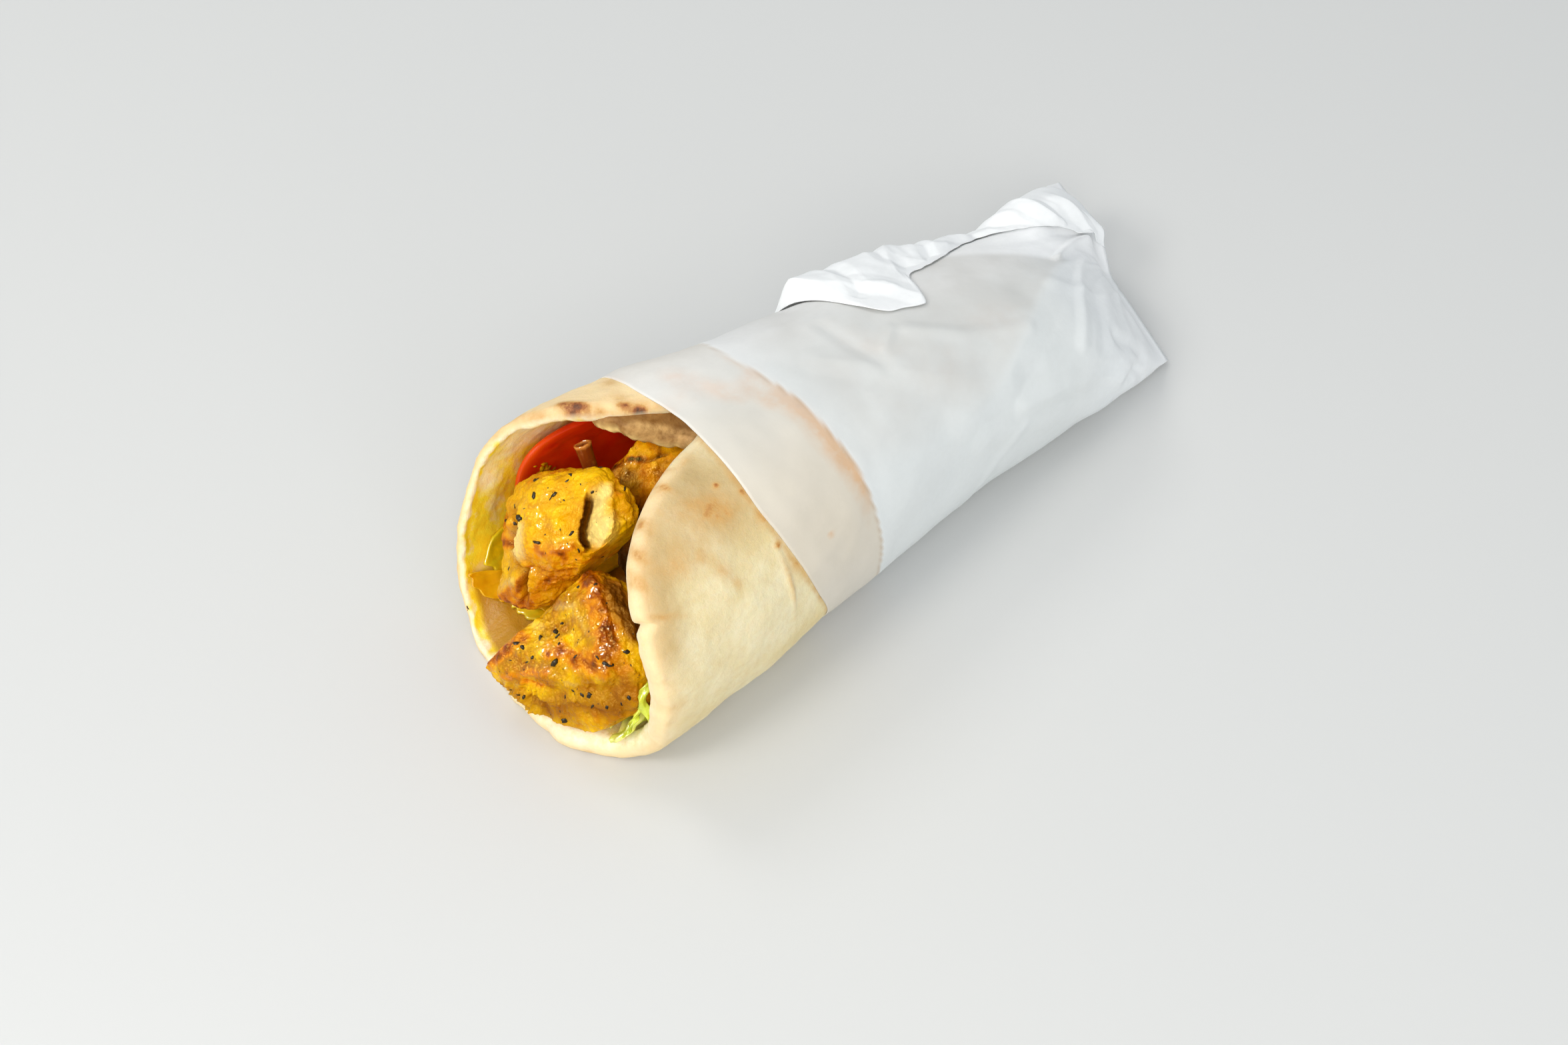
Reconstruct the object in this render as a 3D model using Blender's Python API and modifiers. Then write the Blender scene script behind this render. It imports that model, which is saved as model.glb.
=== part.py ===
"""A souvlaki wrap: soft flat bread rolled round grilled chicken, tomato, onion and lettuce,
with its lower two thirds in a paper bag that is pressed flat at the tail.

The roll lies on its side along X. Its open mouth looks towards -X, its tail towards +X, and the
floor is z = 0. A place on the roll is given by x and by an angle round it: 0 degrees is the top,
90 the near side (-Y), 180 the bottom and 270 the far side (+Y).
"""

import math
import random

import bmesh
import bpy
import numpy as np
from mathutils import Matrix, Vector, noise
from mathutils.bvhtree import BVHTree

MM = 0.001

# ---------------------------------------------------------------- driving dimensions
BREAD_THICK = 5.6 * MM
FAR_WALL_THICK = 3.3 * MM   # the bread is thinner on its far side, up to the strip at the top
PAPER_THICK = 0.8 * MM
GAP = 0.35 * MM
TONGUE_THICK = 3.6 * MM
TOMATO_THICK = 4.2 * MM
LEAF_THICK = 0.7 * MM
PETAL_THICK = 1.1 * MM
ONION_RADIUS = 1.85 * MM
ONION_WALL = 0.6 * MM
ONION_LENGTH = 9.0 * MM
HERB_SIZE = 0.75 * MM
HERB_SINK = 0.08 * MM

ROUND_TOP = 2.3       # superellipse exponents of the roll's section
ROUND_SHOULDER = 2.75  # the far shoulder of the mouth
ROUND_BOTTOM = 2.6
FLOOR_BLEND = 1.5 * MM

BREAD_BACK = 60.0 * MM
TONGUE_BACK = -12.0 * MM
PAPER_BACK = 97.0 * MM
ORIGIN_SHIFT = (-2.60 * MM, 2.70 * MM, 0.0)   # sets the origin under the middle of the wrap
CORE_FRONT = -62.0 * MM
CORE_BACK = 57.0 * MM

# The outside of the roll, in mm: x, centre y, half width, height, sag of the underside below
# the floor (pressed flat there), lift of the underside off the floor
SECTIONS = (
    (-92, -7.0, 33.1, 52.0, 3.7, 0.0),
    (-70, -3.5, 37.0, 55.2, 3.2, 0.0),
    (-45, -2.5, 35.7, 55.6, 2.1, 0.0),
    (-15, -1.3, 31.6, 53.0, 1.5, 0.0),
    (20, 0.3, 27.3, 48.3, 1.4, 0.0),
    (50, 2.1, 26.1, 41.0, 1.2, 0.0),
    (75, 5.5, 25.6, 28.0, 1.0, 1.5),
    (97, 10.5, 24.8, 5.5, 0.8, 6.0),
)
TAIL_START = 55.0 * MM    # from here on the flattened tail skews and tilts
TAIL_SKEW = 0.16          # x per y: the far corner reaches further out
TAIL_TILT = 0.30          # z per y: the far corner stands higher

# Edges round the roll: angle in degrees, x in mm
MOUTH_EDGE = (
    (5, -44.5), (8, -50.0), (13, -56.5), (21, -65.0), (31, -73.8), (42, -79.4), (57, -82.8),
    (80, -85.2), (110, -84.8), (130, -84.6), (147, -89.5), (165, -92.4), (190, -92.3),
    (214, -90.2), (235, -87.0), (259, -83.4), (276, -79.6), (294, -74.0), (308, -67.5),
    (320, -61.0), (334, -51.5), (350, -38.5),
)
TONGUE_EDGE = (
    (314, -53.0), (326, -54.3), (338, -53.4), (346, -50.5), (354, -46.0), (366, -41.0),
    (382, -37.0), (397, -35.0),
)
PAPER_EDGE = (
    (0, -45.5), (39, -46.0), (58, -44.5), (75, -41.1), (92, -36.5), (107, -32.5), (140, -30.0),
    (200, -33.0), (260, -42.0), (312, -46.5), (360, -45.5),
)
FLAP_TIP_ANGLE = 5.0       # the flap's own edge, at its tip ...
FLAP_SIDE_ANGLE = -7.0     # ... and under the paper
FLAP_TIP_X = (-46, -34)
STRIP_END_ANGLE = 350.0
TONGUE_ANGLES = (314.0, 397.0)
THINNING_ANGLES = (215.0, 262.0)   # the bread thins out between these
TOMATO_MIDDLE = (-46.0, 269.0)     # x in mm and angle, with its half length and half angle
TOMATO_REACH = (23.5, 31.0)

# The thin pieces on the inner wall: angles, front edge and back edge as angle and x in mm
LEFT_LEAF = (
    (206, 254), ((206, -77), (216, -79.5), (238, -79), (248, -81), (254, -77)),
    ((206, -42), (254, -42)),
)
PETAL = (
    (206, 250), ((206, -77), (218, -79.2), (231, -82.7), (245, -87), (250, -86)),
    ((206, -73), (238, -76.6), (250, -80.7)),
)
RIGHT_LEAF = (
    (116, 148), ((116, -77), (125, -82), (135, -75), (148, -72)), ((116, -40), (148, -40)),
)
RIGHT_LEAF_RUFFLE = 2.5 * MM

# The frame in which the filling is set out: the middle of the mouth, and the directions to the
# right, up and out of it for somebody who looks down into it
MOUTH_MIDDLE = Vector((-72.0, 4.9, 23.2)) * MM
MOUTH_OUT = Vector((-0.392, -0.561, 0.729)).normalized()
MOUTH_RIGHT = MOUTH_OUT.cross(Vector((0.456, 0.570, 0.683))) * -1.0
MOUTH_RIGHT.normalize()
MOUTH_UP = MOUTH_OUT.cross(MOUTH_RIGHT)

# Chicken chunks: outline as angle in degrees (0 right, 90 up) and radius in mm
UPPER_OUTLINE = (
    (0, 13.7), (30, 15.5), (62, 16.1), (90, 14.7), (118, 14.6), (150, 13.8), (180, 13.7),
    (205, 14.8), (222, 18.5), (238, 17.2), (255, 13.8), (275, 11.2), (305, 9.8), (335, 10.8),
)
LOWER_OUTLINE = (
    (0, 17.4), (22, 15.4), (46, 16.2), (72, 17.8), (92, 14.6), (117, 11.2), (142, 11.8),
    (162, 15.4), (185, 19.0), (203, 17.4), (225, 15.8), (262, 15.6), (292, 18.0), (318, 18.6),
    (342, 18.2),
)

COLOURS = {
    "bread": ((0.86, 0.74, 0.50), 0.75),
    "paper": ((0.88, 0.90, 0.90), 0.60),
    "chicken": ((0.74, 0.40, 0.03), 0.38),
    "tomato": ((0.75, 0.09, 0.02), 0.25),
    "onion": ((0.84, 0.74, 0.36), 0.35),
    "lettuce": ((0.36, 0.52, 0.08), 0.40),
}


# ---------------------------------------------------------------- scene and objects
def clear_scene():
    """Start from an empty scene."""
    for obj in list(bpy.data.objects):
        bpy.data.objects.remove(obj, do_unlink=True)


def new_collection(name):
    """Make a collection under the scene."""
    collection = bpy.data.collections.new(name)
    bpy.context.scene.collection.children.link(collection)
    return collection


def food_material(kind, name):
    """Make the plain material of one piece."""
    colour, roughness = COLOURS[kind]
    material = bpy.data.materials.new(name)
    material.use_nodes = True
    shader = material.node_tree.nodes["Principled BSDF"]
    shader.inputs["Base Color"].default_value = (*colour, 1.0)
    shader.inputs["Roughness"].default_value = roughness
    shader.inputs["Metallic"].default_value = 0.0
    material.diffuse_color = (*colour, 1.0)
    return material


def add_object(name, bm, kind, collection):
    """Turn a bmesh into an object in a collection."""
    bmesh.ops.recalc_face_normals(bm, faces=bm.faces[:])
    if not any(e.is_boundary for e in bm.edges) and bm.calc_volume(signed=True) < 0:
        bmesh.ops.reverse_faces(bm, faces=bm.faces[:])
    mesh = bpy.data.meshes.new(name)
    bm.to_mesh(mesh)
    bm.free()
    mesh.shade_smooth()
    mesh.materials.append(food_material(kind, name))
    obj = bpy.data.objects.new(name, mesh)
    collection.objects.link(obj)
    return obj


def apply_modifier(obj, modifier):
    """Bake one modifier into its object's mesh."""
    depsgraph = bpy.context.evaluated_depsgraph_get()
    mesh = bpy.data.meshes.new_from_object(obj.evaluated_get(depsgraph))
    obj.modifiers.remove(modifier)
    obj.data = mesh


# ---------------------------------------------------------------- curves through named points
def smooth_through(table, at, column=1, period=None):
    """Read a smooth curve through the rows of a table at some values of its first column."""
    rows = np.array(table, float)
    key, value = rows[:, 0], rows[:, column]
    if period:
        at = (at - key[0]) % period + key[0]
        key = np.concatenate((key[-2:] - period, key, key[:2] + period))
        value = np.concatenate((value[-2:], value, value[:2]))
    at = np.clip(at, key[0], key[-1])
    step = np.diff(key)
    slope = np.diff(value) / step
    tangent = np.concatenate(([slope[0]], (slope[1:] + slope[:-1]) / 2, [slope[-1]]))
    flat = np.concatenate(([False], slope[1:] * slope[:-1] <= 0, [False]))
    tangent[flat] = 0.0
    row = np.clip(np.searchsorted(key, at, side="right") - 1, 0, len(step) - 1)
    t = (at - key[row]) / step[row]
    start = value[row] * (1 + 2 * t) * (1 - t) ** 2 + tangent[row] * step[row] * t * (1 - t) ** 2
    end = value[row + 1] * t * t * (3 - 2 * t) - tangent[row + 1] * step[row] * t * t * (1 - t)
    return start + end


def ramp(value, low, high):
    """Rise smoothly from 0 at low to 1 at high."""
    t = np.clip((value - low) / (high - low), 0.0, 1.0)
    return t * t * (3 - 2 * t)


# ---------------------------------------------------------------- the form of the roll
def section_at(x):
    """Centre y, half width, half height, centre z and lift of the roll's section at x."""
    centre, width, height, sag, lift = (
        smooth_through(SECTIONS, x / MM, column) * MM for column in range(1, 6)
    )
    half_height = (height + sag) / 2
    return centre, width, half_height, lift + half_height - sag, lift


def press_flat(z, floor):
    """Keep z above the floor, with a soft bend where it meets the floor."""
    over = z - floor
    bend = (over + FLOOR_BLEND) ** 2 / (4 * FLOOR_BLEND)
    over = np.where(over > FLOOR_BLEND, over, np.where(over < -FLOOR_BLEND, 0.0, bend))
    return floor + over


def section_reach(x, sine, cosine, width, half_height):
    """Distance from a section's centre to its outline, in the direction of an angle."""
    shoulder = ramp(-sine, 0, 0.4) * (1 - ramp(x, -50 * MM, -25 * MM))
    power = np.where(cosine > 0, ROUND_TOP + (ROUND_SHOULDER - ROUND_TOP) * shoulder, ROUND_BOTTOM)
    return (np.abs(sine / width) ** power + np.abs(cosine / half_height) ** power) ** (-1 / power)


def skin(x, angle):
    """Points of the roll's outside at x and at an angle in degrees."""
    centre, width, half_height, middle, lift = section_at(x)
    sine, cosine = np.sin(np.radians(angle)), np.cos(np.radians(angle))
    reach = section_reach(x, sine, cosine, width, half_height)
    y = centre - reach * sine
    z = press_flat(middle + reach * cosine, lift)
    tail = ramp(x, TAIL_START, PAPER_BACK)
    aside = y - centre
    z = np.maximum(z + tail * TAIL_TILT * aside, 0.0)
    return np.stack((x + tail * TAIL_SKEW * aside, y, z), -1)


def layer(x, angle, depth):
    """Points at a depth under the roll's outside."""
    here = skin(x, angle)
    along = skin(x + 0.5 * MM, angle) - skin(x - 0.5 * MM, angle)
    around = skin(x, angle + 0.5) - skin(x, angle - 0.5)
    outward = np.cross(around, along)
    outward /= np.linalg.norm(outward, axis=-1, keepdims=True)
    return here - outward * np.asarray(depth)[..., None]


def bread_depth(x, angle):
    """How far the bread's outside lies under the roll's outside, where paper covers it."""
    edge = smooth_through(PAPER_EDGE, angle % 360) * MM
    return (PAPER_THICK + GAP) * ramp(x, edge - 22 * MM, edge - 2 * MM)


def bread_thickness(angle):
    """Thickness of the bread, which thins out from the bottom to the far side."""
    return BREAD_THICK + (FAR_WALL_THICK - BREAD_THICK) * ramp(angle, *THINNING_ANGLES)


def liner_depth(angle):
    """Depth of what lies on the bread's inner wall, at an angle."""
    seam = ramp(angle, 344, 352)
    wall = bread_thickness(angle) * (1 - seam) + BREAD_THICK * seam + PAPER_THICK + 2.2 * GAP
    far = ramp(angle, 196, 206) * (1 - ramp(angle, 258, 268))
    near = ramp(angle, 108, 114) * (1 - ramp(angle, 150, 156))
    return wall + far * (LEAF_THICK + PETAL_THICK + 2 * GAP) + near * (LEAF_THICK + GAP)


def soft_limit(value, softness):
    """Let a value rise freely to nearly 1 and then only creep towards 1."""
    over = np.maximum(value - 1 + softness, 0.0)
    return np.where(over > 0, 1 - softness * np.exp(-over / softness), value)


def press_inside(points):
    """Push points that reach into the bread, or into what lines it, back to its inner wall."""
    x, y, z = points.T
    centre, width, half_height, middle, _ = section_at(x)
    angle = np.degrees(np.arctan2(centre - y, z - middle)) % 360
    depth = liner_depth(angle)
    away = np.hypot(y - centre, z - middle)
    sine, cosine = (centre - y) / away, (z - middle) / away
    reach = section_reach(x, sine, cosine, width - depth, half_height - depth)
    inside = soft_limit(away / reach, 0.06) * reach / away
    y, z = centre + (y - centre) * inside, middle + (z - middle) * inside
    z = middle - (middle - depth) * soft_limit((middle - z) / (middle - depth), 0.06)
    return np.stack((x, y, z), -1)


# ---------------------------------------------------------------- sheets, chunks and cutters
def grid_slab(around, along, rim_cuts):
    """A flat slab in u, v and w, each from 0 to 1, with the same triangles on both faces."""
    bm = bmesh.new()
    bmesh.ops.create_grid(bm, x_segments=around, y_segments=along, size=0.5)
    bmesh.ops.triangulate(bm, faces=bm.faces[:])
    grown = bmesh.ops.extrude_face_region(bm, geom=bm.faces[:])["geom"]
    top = [item for item in grown if isinstance(item, bmesh.types.BMVert)]
    bmesh.ops.translate(bm, verts=top, vec=(0, 0, 1))
    if rim_cuts:
        rim = [e for e in bm.edges if abs(e.verts[0].co.z - e.verts[1].co.z) > 0.5]
        bmesh.ops.subdivide_edges(bm, edges=rim, cuts=rim_cuts)
    bmesh.ops.translate(bm, verts=bm.verts[:], vec=(0.5, 0.5, 0))
    return bm


def bend(bm, place):
    """Move every vertex of a bmesh to place(coordinates)."""
    moved = place(np.array([v.co for v in bm.verts], float))
    for vertex, target in zip(bm.verts, moved):
        vertex.co = Vector(target)


def rim_inset(w, size):
    """How far a round rim draws back at height w of its thickness."""
    return size * (1 - np.sqrt(np.clip(1 - (2 * w - 1) ** 2, 0, 1)))


def rolled_slab(around, along, rim_cuts, rim_size, place):
    """A slab whose border is rounded, bent into place by place(u, v, w, inset_u, inset_v)."""
    bm = grid_slab(around, along, rim_cuts)

    def bend_sheet(flat):
        u, v, w = flat.T
        inset = rim_inset(w, rim_size)
        inset_u = inset * ((u < 1e-4).astype(float) - (u > 1 - 1e-4))
        inset_v = inset * ((v < 1e-4).astype(float) - (v > 1 - 1e-4))
        return place(u, v, w, inset_u, inset_v)

    bend(bm, bend_sheet)
    return bm


def from_mouth(right, up, out):
    """A point in the mouth's frame, given in mm."""
    return MOUTH_MIDDLE + (MOUTH_RIGHT * right + MOUTH_UP * up + MOUTH_OUT * out) * MM


def lumps(points, size, height, shift):
    """Seeded unevenness: one value for each point."""
    return np.array([noise.noise(Vector(p) / size + Vector((shift, 0, 0))) for p in points]) * height


def trim(bm, point, normal):
    """Cut a body at a plane, drop the side that the normal points to, and close the cut."""
    cut = bmesh.ops.bisect_plane(bm, geom=bm.verts[:] + bm.edges[:] + bm.faces[:], dist=1e-6,
                                 plane_co=point, plane_no=normal, clear_outer=True)
    edges = [item for item in cut["geom_cut"] if isinstance(item, bmesh.types.BMEdge)]
    bmesh.ops.holes_fill(bm, edges=edges)
    bmesh.ops.triangulate(bm, faces=bm.faces[:])


def chunk(middle, outline, tilt, front, back, shift):
    """A lump of grilled meat with a given outline, seen from the mouth."""
    bm = bmesh.new()
    bmesh.ops.create_uvsphere(bm, u_segments=30, v_segments=18, radius=1.0)

    def shape(ball):
        around = np.degrees(np.arctan2(ball[:, 1], ball[:, 0]))
        side = np.clip(np.hypot(ball[:, 0], ball[:, 1]), 0, 1) ** 0.82
        radius = smooth_through(outline, around, period=360) * side
        right = radius * np.cos(np.radians(around))
        up = radius * np.sin(np.radians(around))
        rise = np.where(ball[:, 2] > 0, front, back) * np.sign(ball[:, 2]) * np.abs(ball[:, 2]) ** 0.9
        out = rise + tilt * right
        relief = 1 + lumps(ball, 0.55, 0.10, shift) + lumps(ball, 0.22, 0.045, shift + 9)
        places = [Vector(from_mouth(*(Vector(middle) + Vector(p) * k)))
                  for p, k in zip(np.stack((right, up, out), -1), relief)]
        return press_inside(np.array(places))

    bend(bm, shape)
    return bm


def union_all(name, body, extras, collection):
    """Fuse a collection of small pieces to a body with one Boolean."""
    group = new_collection(name + "_herbs")
    for number, bm in enumerate(extras):
        mesh = bpy.data.meshes.new(f"{name}_herb_{number}")
        bm.to_mesh(mesh)
        bm.free()
        group.objects.link(bpy.data.objects.new(mesh.name, mesh))
    fuse = body.modifiers.new("herbs", "BOOLEAN")
    fuse.operation = "UNION"
    fuse.solver = "EXACT"
    fuse.operand_type = "COLLECTION"
    fuse.collection = group
    apply_modifier(body, fuse)
    for obj in list(group.objects):
        bpy.data.objects.remove(obj, do_unlink=True)
    bpy.data.collections.remove(group)


def herb_flecks(body, middle, count, reach, seed):
    """Small flat flakes of herb, half sunk in the side of a chunk that shows at the mouth."""
    depsgraph = bpy.context.evaluated_depsgraph_get()
    surface = BVHTree.FromObject(body, depsgraph)
    draw = random.Random(seed)
    kept, flakes = [], []
    while len(kept) < count:
        right, up = draw.uniform(-reach, reach), draw.uniform(-reach, reach)
        start = from_mouth(middle[0] + right, middle[1] + up, 60)
        hit, normal, _, _ = surface.ray_cast(start, -MOUTH_OUT)
        if hit is None or normal.dot(MOUTH_OUT) < 0.35:
            continue
        if any((hit - other).length < 3.2 * MM for other in kept):
            continue
        kept.append(hit)
        flake = bmesh.new()
        bmesh.ops.create_icosphere(flake, subdivisions=1, radius=HERB_SIZE)
        bmesh.ops.scale(flake, vec=(1.0, draw.uniform(0.55, 0.9), 0.45), verts=flake.verts[:])
        turn = normal.to_track_quat("Z", "Y").to_matrix().to_4x4()
        spin = Matrix.Rotation(draw.uniform(0, math.pi), 4, "Z")
        place = Matrix.Translation(hit - normal * HERB_SINK)
        bmesh.ops.transform(flake, matrix=place @ turn @ spin, verts=flake.verts[:])
        flakes.append(flake)
    return flakes


# ---------------------------------------------------------------- the pieces
def make_bread(collection, cutters):
    """The bread: one rolled slab, and the inner ply that shows under its edge at the top."""
    def roll(u, v, w, inset_u, inset_v):
        u = u ** 1.15
        flat_angle = FLAP_TIP_ANGLE + (STRIP_END_ANGLE - FLAP_TIP_ANGLE) * u
        front = smooth_through(MOUTH_EDGE, flat_angle) * MM
        x = front + (BREAD_BACK - front) * v ** 1.25 + inset_v
        side = FLAP_TIP_ANGLE + (FLAP_SIDE_ANGLE - FLAP_TIP_ANGLE) * ramp(x / MM, *FLAP_TIP_X)
        angle = side + (STRIP_END_ANGLE - side) * u + np.degrees(inset_u / (27 * MM))
        return layer(x, angle, bread_depth(x, angle) + bread_thickness(angle) * w)

    def ply(u, v, w, inset_u, inset_v):
        angle = TONGUE_ANGLES[0] + (TONGUE_ANGLES[1] - TONGUE_ANGLES[0]) * u
        angle = angle + np.degrees(inset_u / (24 * MM))
        front = smooth_through(TONGUE_EDGE, angle) * MM
        x = front + (TONGUE_BACK - front) * v + inset_v
        top = FAR_WALL_THICK - 0.9 * MM
        top = top + (BREAD_THICK + GAP - top) * ramp(angle, 340, 351)
        return layer(x, angle, bread_depth(x, angle) + top + TONGUE_THICK * w)

    bread = add_object("pita", rolled_slab(46, 13, 3, 1.6 * MM, roll), "bread", collection)
    tongue = add_object("inner_ply", rolled_slab(14, 8, 1, 0.9 * MM, ply), "bread", cutters)
    fuse = bread.modifiers.new("inner ply", "BOOLEAN")
    fuse.operation = "UNION"
    fuse.solver = "EXACT"
    fuse.object = tongue
    apply_modifier(bread, fuse)
    bpy.data.objects.remove(tongue, do_unlink=True)
    return bread


def paper_lift(x, angle):
    """How far the paper stands off the roll: the loose edge that rises along its far shoulder."""
    along = ramp(x, -7 * MM, 1 * MM) * (1 - ramp(x, 80 * MM, 97 * MM))
    across = np.exp(-((angle % 360 - 316) / 13) ** 2)
    return 5.5 * MM * along * across


def make_paper(collection):
    """The paper: a bag round the roll, open at the mouth's side and pressed flat at the tail."""
    around, along = 48, 18
    bm = bmesh.new()
    bmesh.ops.create_grid(bm, x_segments=around, y_segments=along, size=0.5)

    def wrap(flat):
        angle = (flat[:, 0] + 0.5) * 360
        edge = smooth_through(PAPER_EDGE, angle) * MM
        x = edge + (PAPER_BACK - edge) * (flat[:, 1] + 0.5)
        return layer(x, angle, -paper_lift(x, angle))

    bend(bm, wrap)
    bmesh.ops.remove_doubles(bm, verts=bm.verts[:], dist=1e-6)
    tail = [e for e in bm.edges if e.is_boundary and e.verts[0].co.x > 80 * MM]
    bmesh.ops.holes_fill(bm, edges=tail)
    paper = add_object("paper", bm, "paper", collection)
    wall = paper.modifiers.new("paper wall", "SOLIDIFY")
    wall.thickness = PAPER_THICK
    wall.offset = -1.0
    wall.use_even_offset = True
    return paper


def make_core(collection):
    """The chicken that runs on through the roll behind the front pieces."""
    bm = bmesh.new()
    bmesh.ops.create_uvsphere(bm, u_segments=28, v_segments=24, radius=1.0)

    def fill(ball):
        along = ball[:, 2]
        x = (CORE_FRONT + CORE_BACK) / 2 + (CORE_BACK - CORE_FRONT) / 2 * along
        angle = np.degrees(np.arctan2(-ball[:, 1], ball[:, 0])) % 360
        centre, width, half_height, middle, _ = section_at(x)
        far = ramp(angle, 205, 225) * (1 - ramp(angle, 305, 325)) * (1 - ramp(x, -22 * MM, -12 * MM))
        top = np.maximum(ramp(angle, 292, 306), 1 - ramp(angle, 40, 54)) * (1 - ramp(x, -8 * MM, 0))
        depth = BREAD_THICK + PAPER_THICK + 3 * GAP + far * 7.5 * MM
        depth = np.maximum(depth, (BREAD_THICK + TONGUE_THICK + PAPER_THICK + 3 * GAP) * top)
        depth = np.maximum(depth, liner_depth(angle) + GAP)
        depth = depth + 0.9 * MM + lumps(np.stack((x, angle * 4e-4, x * 0), -1), 9 * MM, 1.8 * MM, 3)
        sine, cosine = np.sin(np.radians(angle)), np.cos(np.radians(angle))
        reach = section_reach(x, sine, cosine, width - depth, half_height - depth)
        reach = reach * np.sqrt(np.clip(1 - np.abs(along) ** 10, 0, 1))
        z = np.maximum(middle + reach * cosine, depth)
        return np.stack((x, centre - reach * sine, z), -1)

    bend(bm, fill)
    trim(bm, from_mouth(12.2, 15.3, -1.5), -(MOUTH_RIGHT * 0.5 + MOUTH_UP * 0.35 - MOUTH_OUT * 0.79))
    trim(bm, from_mouth(5, -18, -4.5), -(MOUTH_RIGHT * 0.35 - MOUTH_OUT * 0.94))
    return add_object("chicken_core", bm, "chicken", collection)


def make_front_chunks(collection, cutters):
    """The two chunks at the mouth, with the slot that a skewer left and flakes of herb."""
    seam_point = from_mouth(0, -5.2, 7)
    seam = (MOUTH_RIGHT * -0.60 + MOUTH_UP * 0.75 - MOUTH_OUT * 0.28).normalized()
    behind = (MOUTH_RIGHT * 0.5 + MOUTH_UP * 0.35 - MOUTH_OUT * 0.79).normalized()
    under = (MOUTH_RIGHT * 0.35 - MOUTH_OUT * 0.94).normalized()

    upper = chunk((0, 6, 3), UPPER_OUTLINE, 0.50, 11.0, 9.0, 20)
    trim(upper, seam_point + seam * 0.2 * MM, -seam)
    trim(upper, from_mouth(12.2, 15.3, -1.5) - behind * GAP, behind)
    upper = add_object("chicken_upper", upper, "chicken", collection)

    slot = bmesh.new()
    bmesh.ops.create_cube(slot, size=1.0)
    bmesh.ops.scale(slot, vec=(2.4 * MM, 9.0 * MM, 12 * MM), verts=slot.verts[:])
    bmesh.ops.bevel(slot, geom=slot.edges[:], offset=0.9 * MM, offset_type="OFFSET", segments=2,
                    profile=0.5, affect="EDGES", material=-1)
    frame = Matrix((MOUTH_RIGHT, MOUTH_UP, MOUTH_OUT)).transposed().to_4x4()
    lean = Matrix.Rotation(math.radians(-6), 4, "Z")
    bmesh.ops.transform(slot, matrix=Matrix.Translation(from_mouth(4.0, 9.3, 17.5)) @ frame @ lean,
                        verts=slot.verts[:])
    slot = add_object("skewer_slot", slot, "chicken", cutters)
    cut = upper.modifiers.new("skewer slot", "BOOLEAN")
    cut.operation = "DIFFERENCE"
    cut.solver = "EXACT"
    cut.object = slot
    apply_modifier(upper, cut)
    bpy.data.objects.remove(slot, do_unlink=True)
    union_all("chicken_upper", upper, herb_flecks(upper, (0, 6), 14, 13, 5), collection)

    lower = chunk((2, -18, 8), LOWER_OUTLINE, 0.55, 11.0, 9.5, 41)
    trim(lower, seam_point - seam * 0.2 * MM, seam)
    trim(lower, from_mouth(5, -18, -4.5) - under * GAP, under)
    lower = add_object("chicken_lower", lower, "chicken", collection)
    union_all("chicken_lower", lower, herb_flecks(lower, (2, -18), 20, 15, 8), collection)


def make_tomato(collection):
    """The tomato slice that lies against the far wall and runs in behind the chunks."""
    bm = bmesh.new()
    bmesh.ops.create_uvsphere(bm, u_segments=28, v_segments=10, radius=1.0)

    def lay(ball):
        flat = np.clip(np.hypot(ball[:, 0], ball[:, 1]), 1e-9, 1)
        spread = flat ** 0.35 / flat
        rise = np.sign(ball[:, 2]) * np.abs(ball[:, 2]) ** 0.5
        x = (TOMATO_MIDDLE[0] + TOMATO_REACH[0] * ball[:, 0] * spread) * MM
        angle = TOMATO_MIDDLE[1] + TOMATO_REACH[1] * ball[:, 1] * spread
        depth = bread_depth(x, angle) + bread_thickness(angle) + LEAF_THICK + 2.6 * GAP
        return layer(x, angle, depth + TOMATO_THICK * (1 - rise) / 2)

    bend(bm, lay)
    return add_object("tomato", bm, "tomato", collection)


def make_leaf(name, outline, ruffle, lift, kind, thick, collection):
    """A thin wavy piece on the inner wall, lift above it."""
    angles, front, back = outline

    def lay(u, v, w, inset_u, inset_v):
        angle = angles[0] + (angles[1] - angles[0]) * u
        start = smooth_through(front, angle) * MM
        end = smooth_through(back, angle) * MM
        x = start + (end - start) * v
        wave = 0.5 + 0.5 * np.sin(u * 9 + 2) * np.cos(v * 11)
        edge = (1 - v) ** 2
        depth = bread_depth(x, angle) + bread_thickness(angle) + 1.3 * GAP + lift
        return layer(x, angle, depth + ruffle * wave * edge + thick * w)

    bm = rolled_slab(8, 9, 0, 0.0, lay)
    return add_object(name, bm, kind, collection)


def make_onion_tube(collection):
    """A short hollow piece of onion that stands up between the chunk and the tomato."""
    bm = bmesh.new()
    bmesh.ops.create_cone(bm, cap_ends=False, segments=16, radius1=ONION_RADIUS * 0.9,
                          radius2=ONION_RADIUS, depth=ONION_LENGTH)
    down = MOUTH_RIGHT * 0.31 - MOUTH_UP * 0.90 - MOUTH_OUT * 0.34
    turn = (-down).to_track_quat("Z", "Y").to_matrix().to_4x4()
    place = from_mouth(3.25, 26.0, 0) + down * (ONION_LENGTH / 2)
    bmesh.ops.transform(bm, matrix=Matrix.Translation(place) @ turn, verts=bm.verts[:])
    tube = add_object("onion_tube", bm, "onion", collection)
    wall = tube.modifiers.new("onion wall", "SOLIDIFY")
    wall.thickness = ONION_WALL
    wall.offset = -1.0
    return tube


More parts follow.
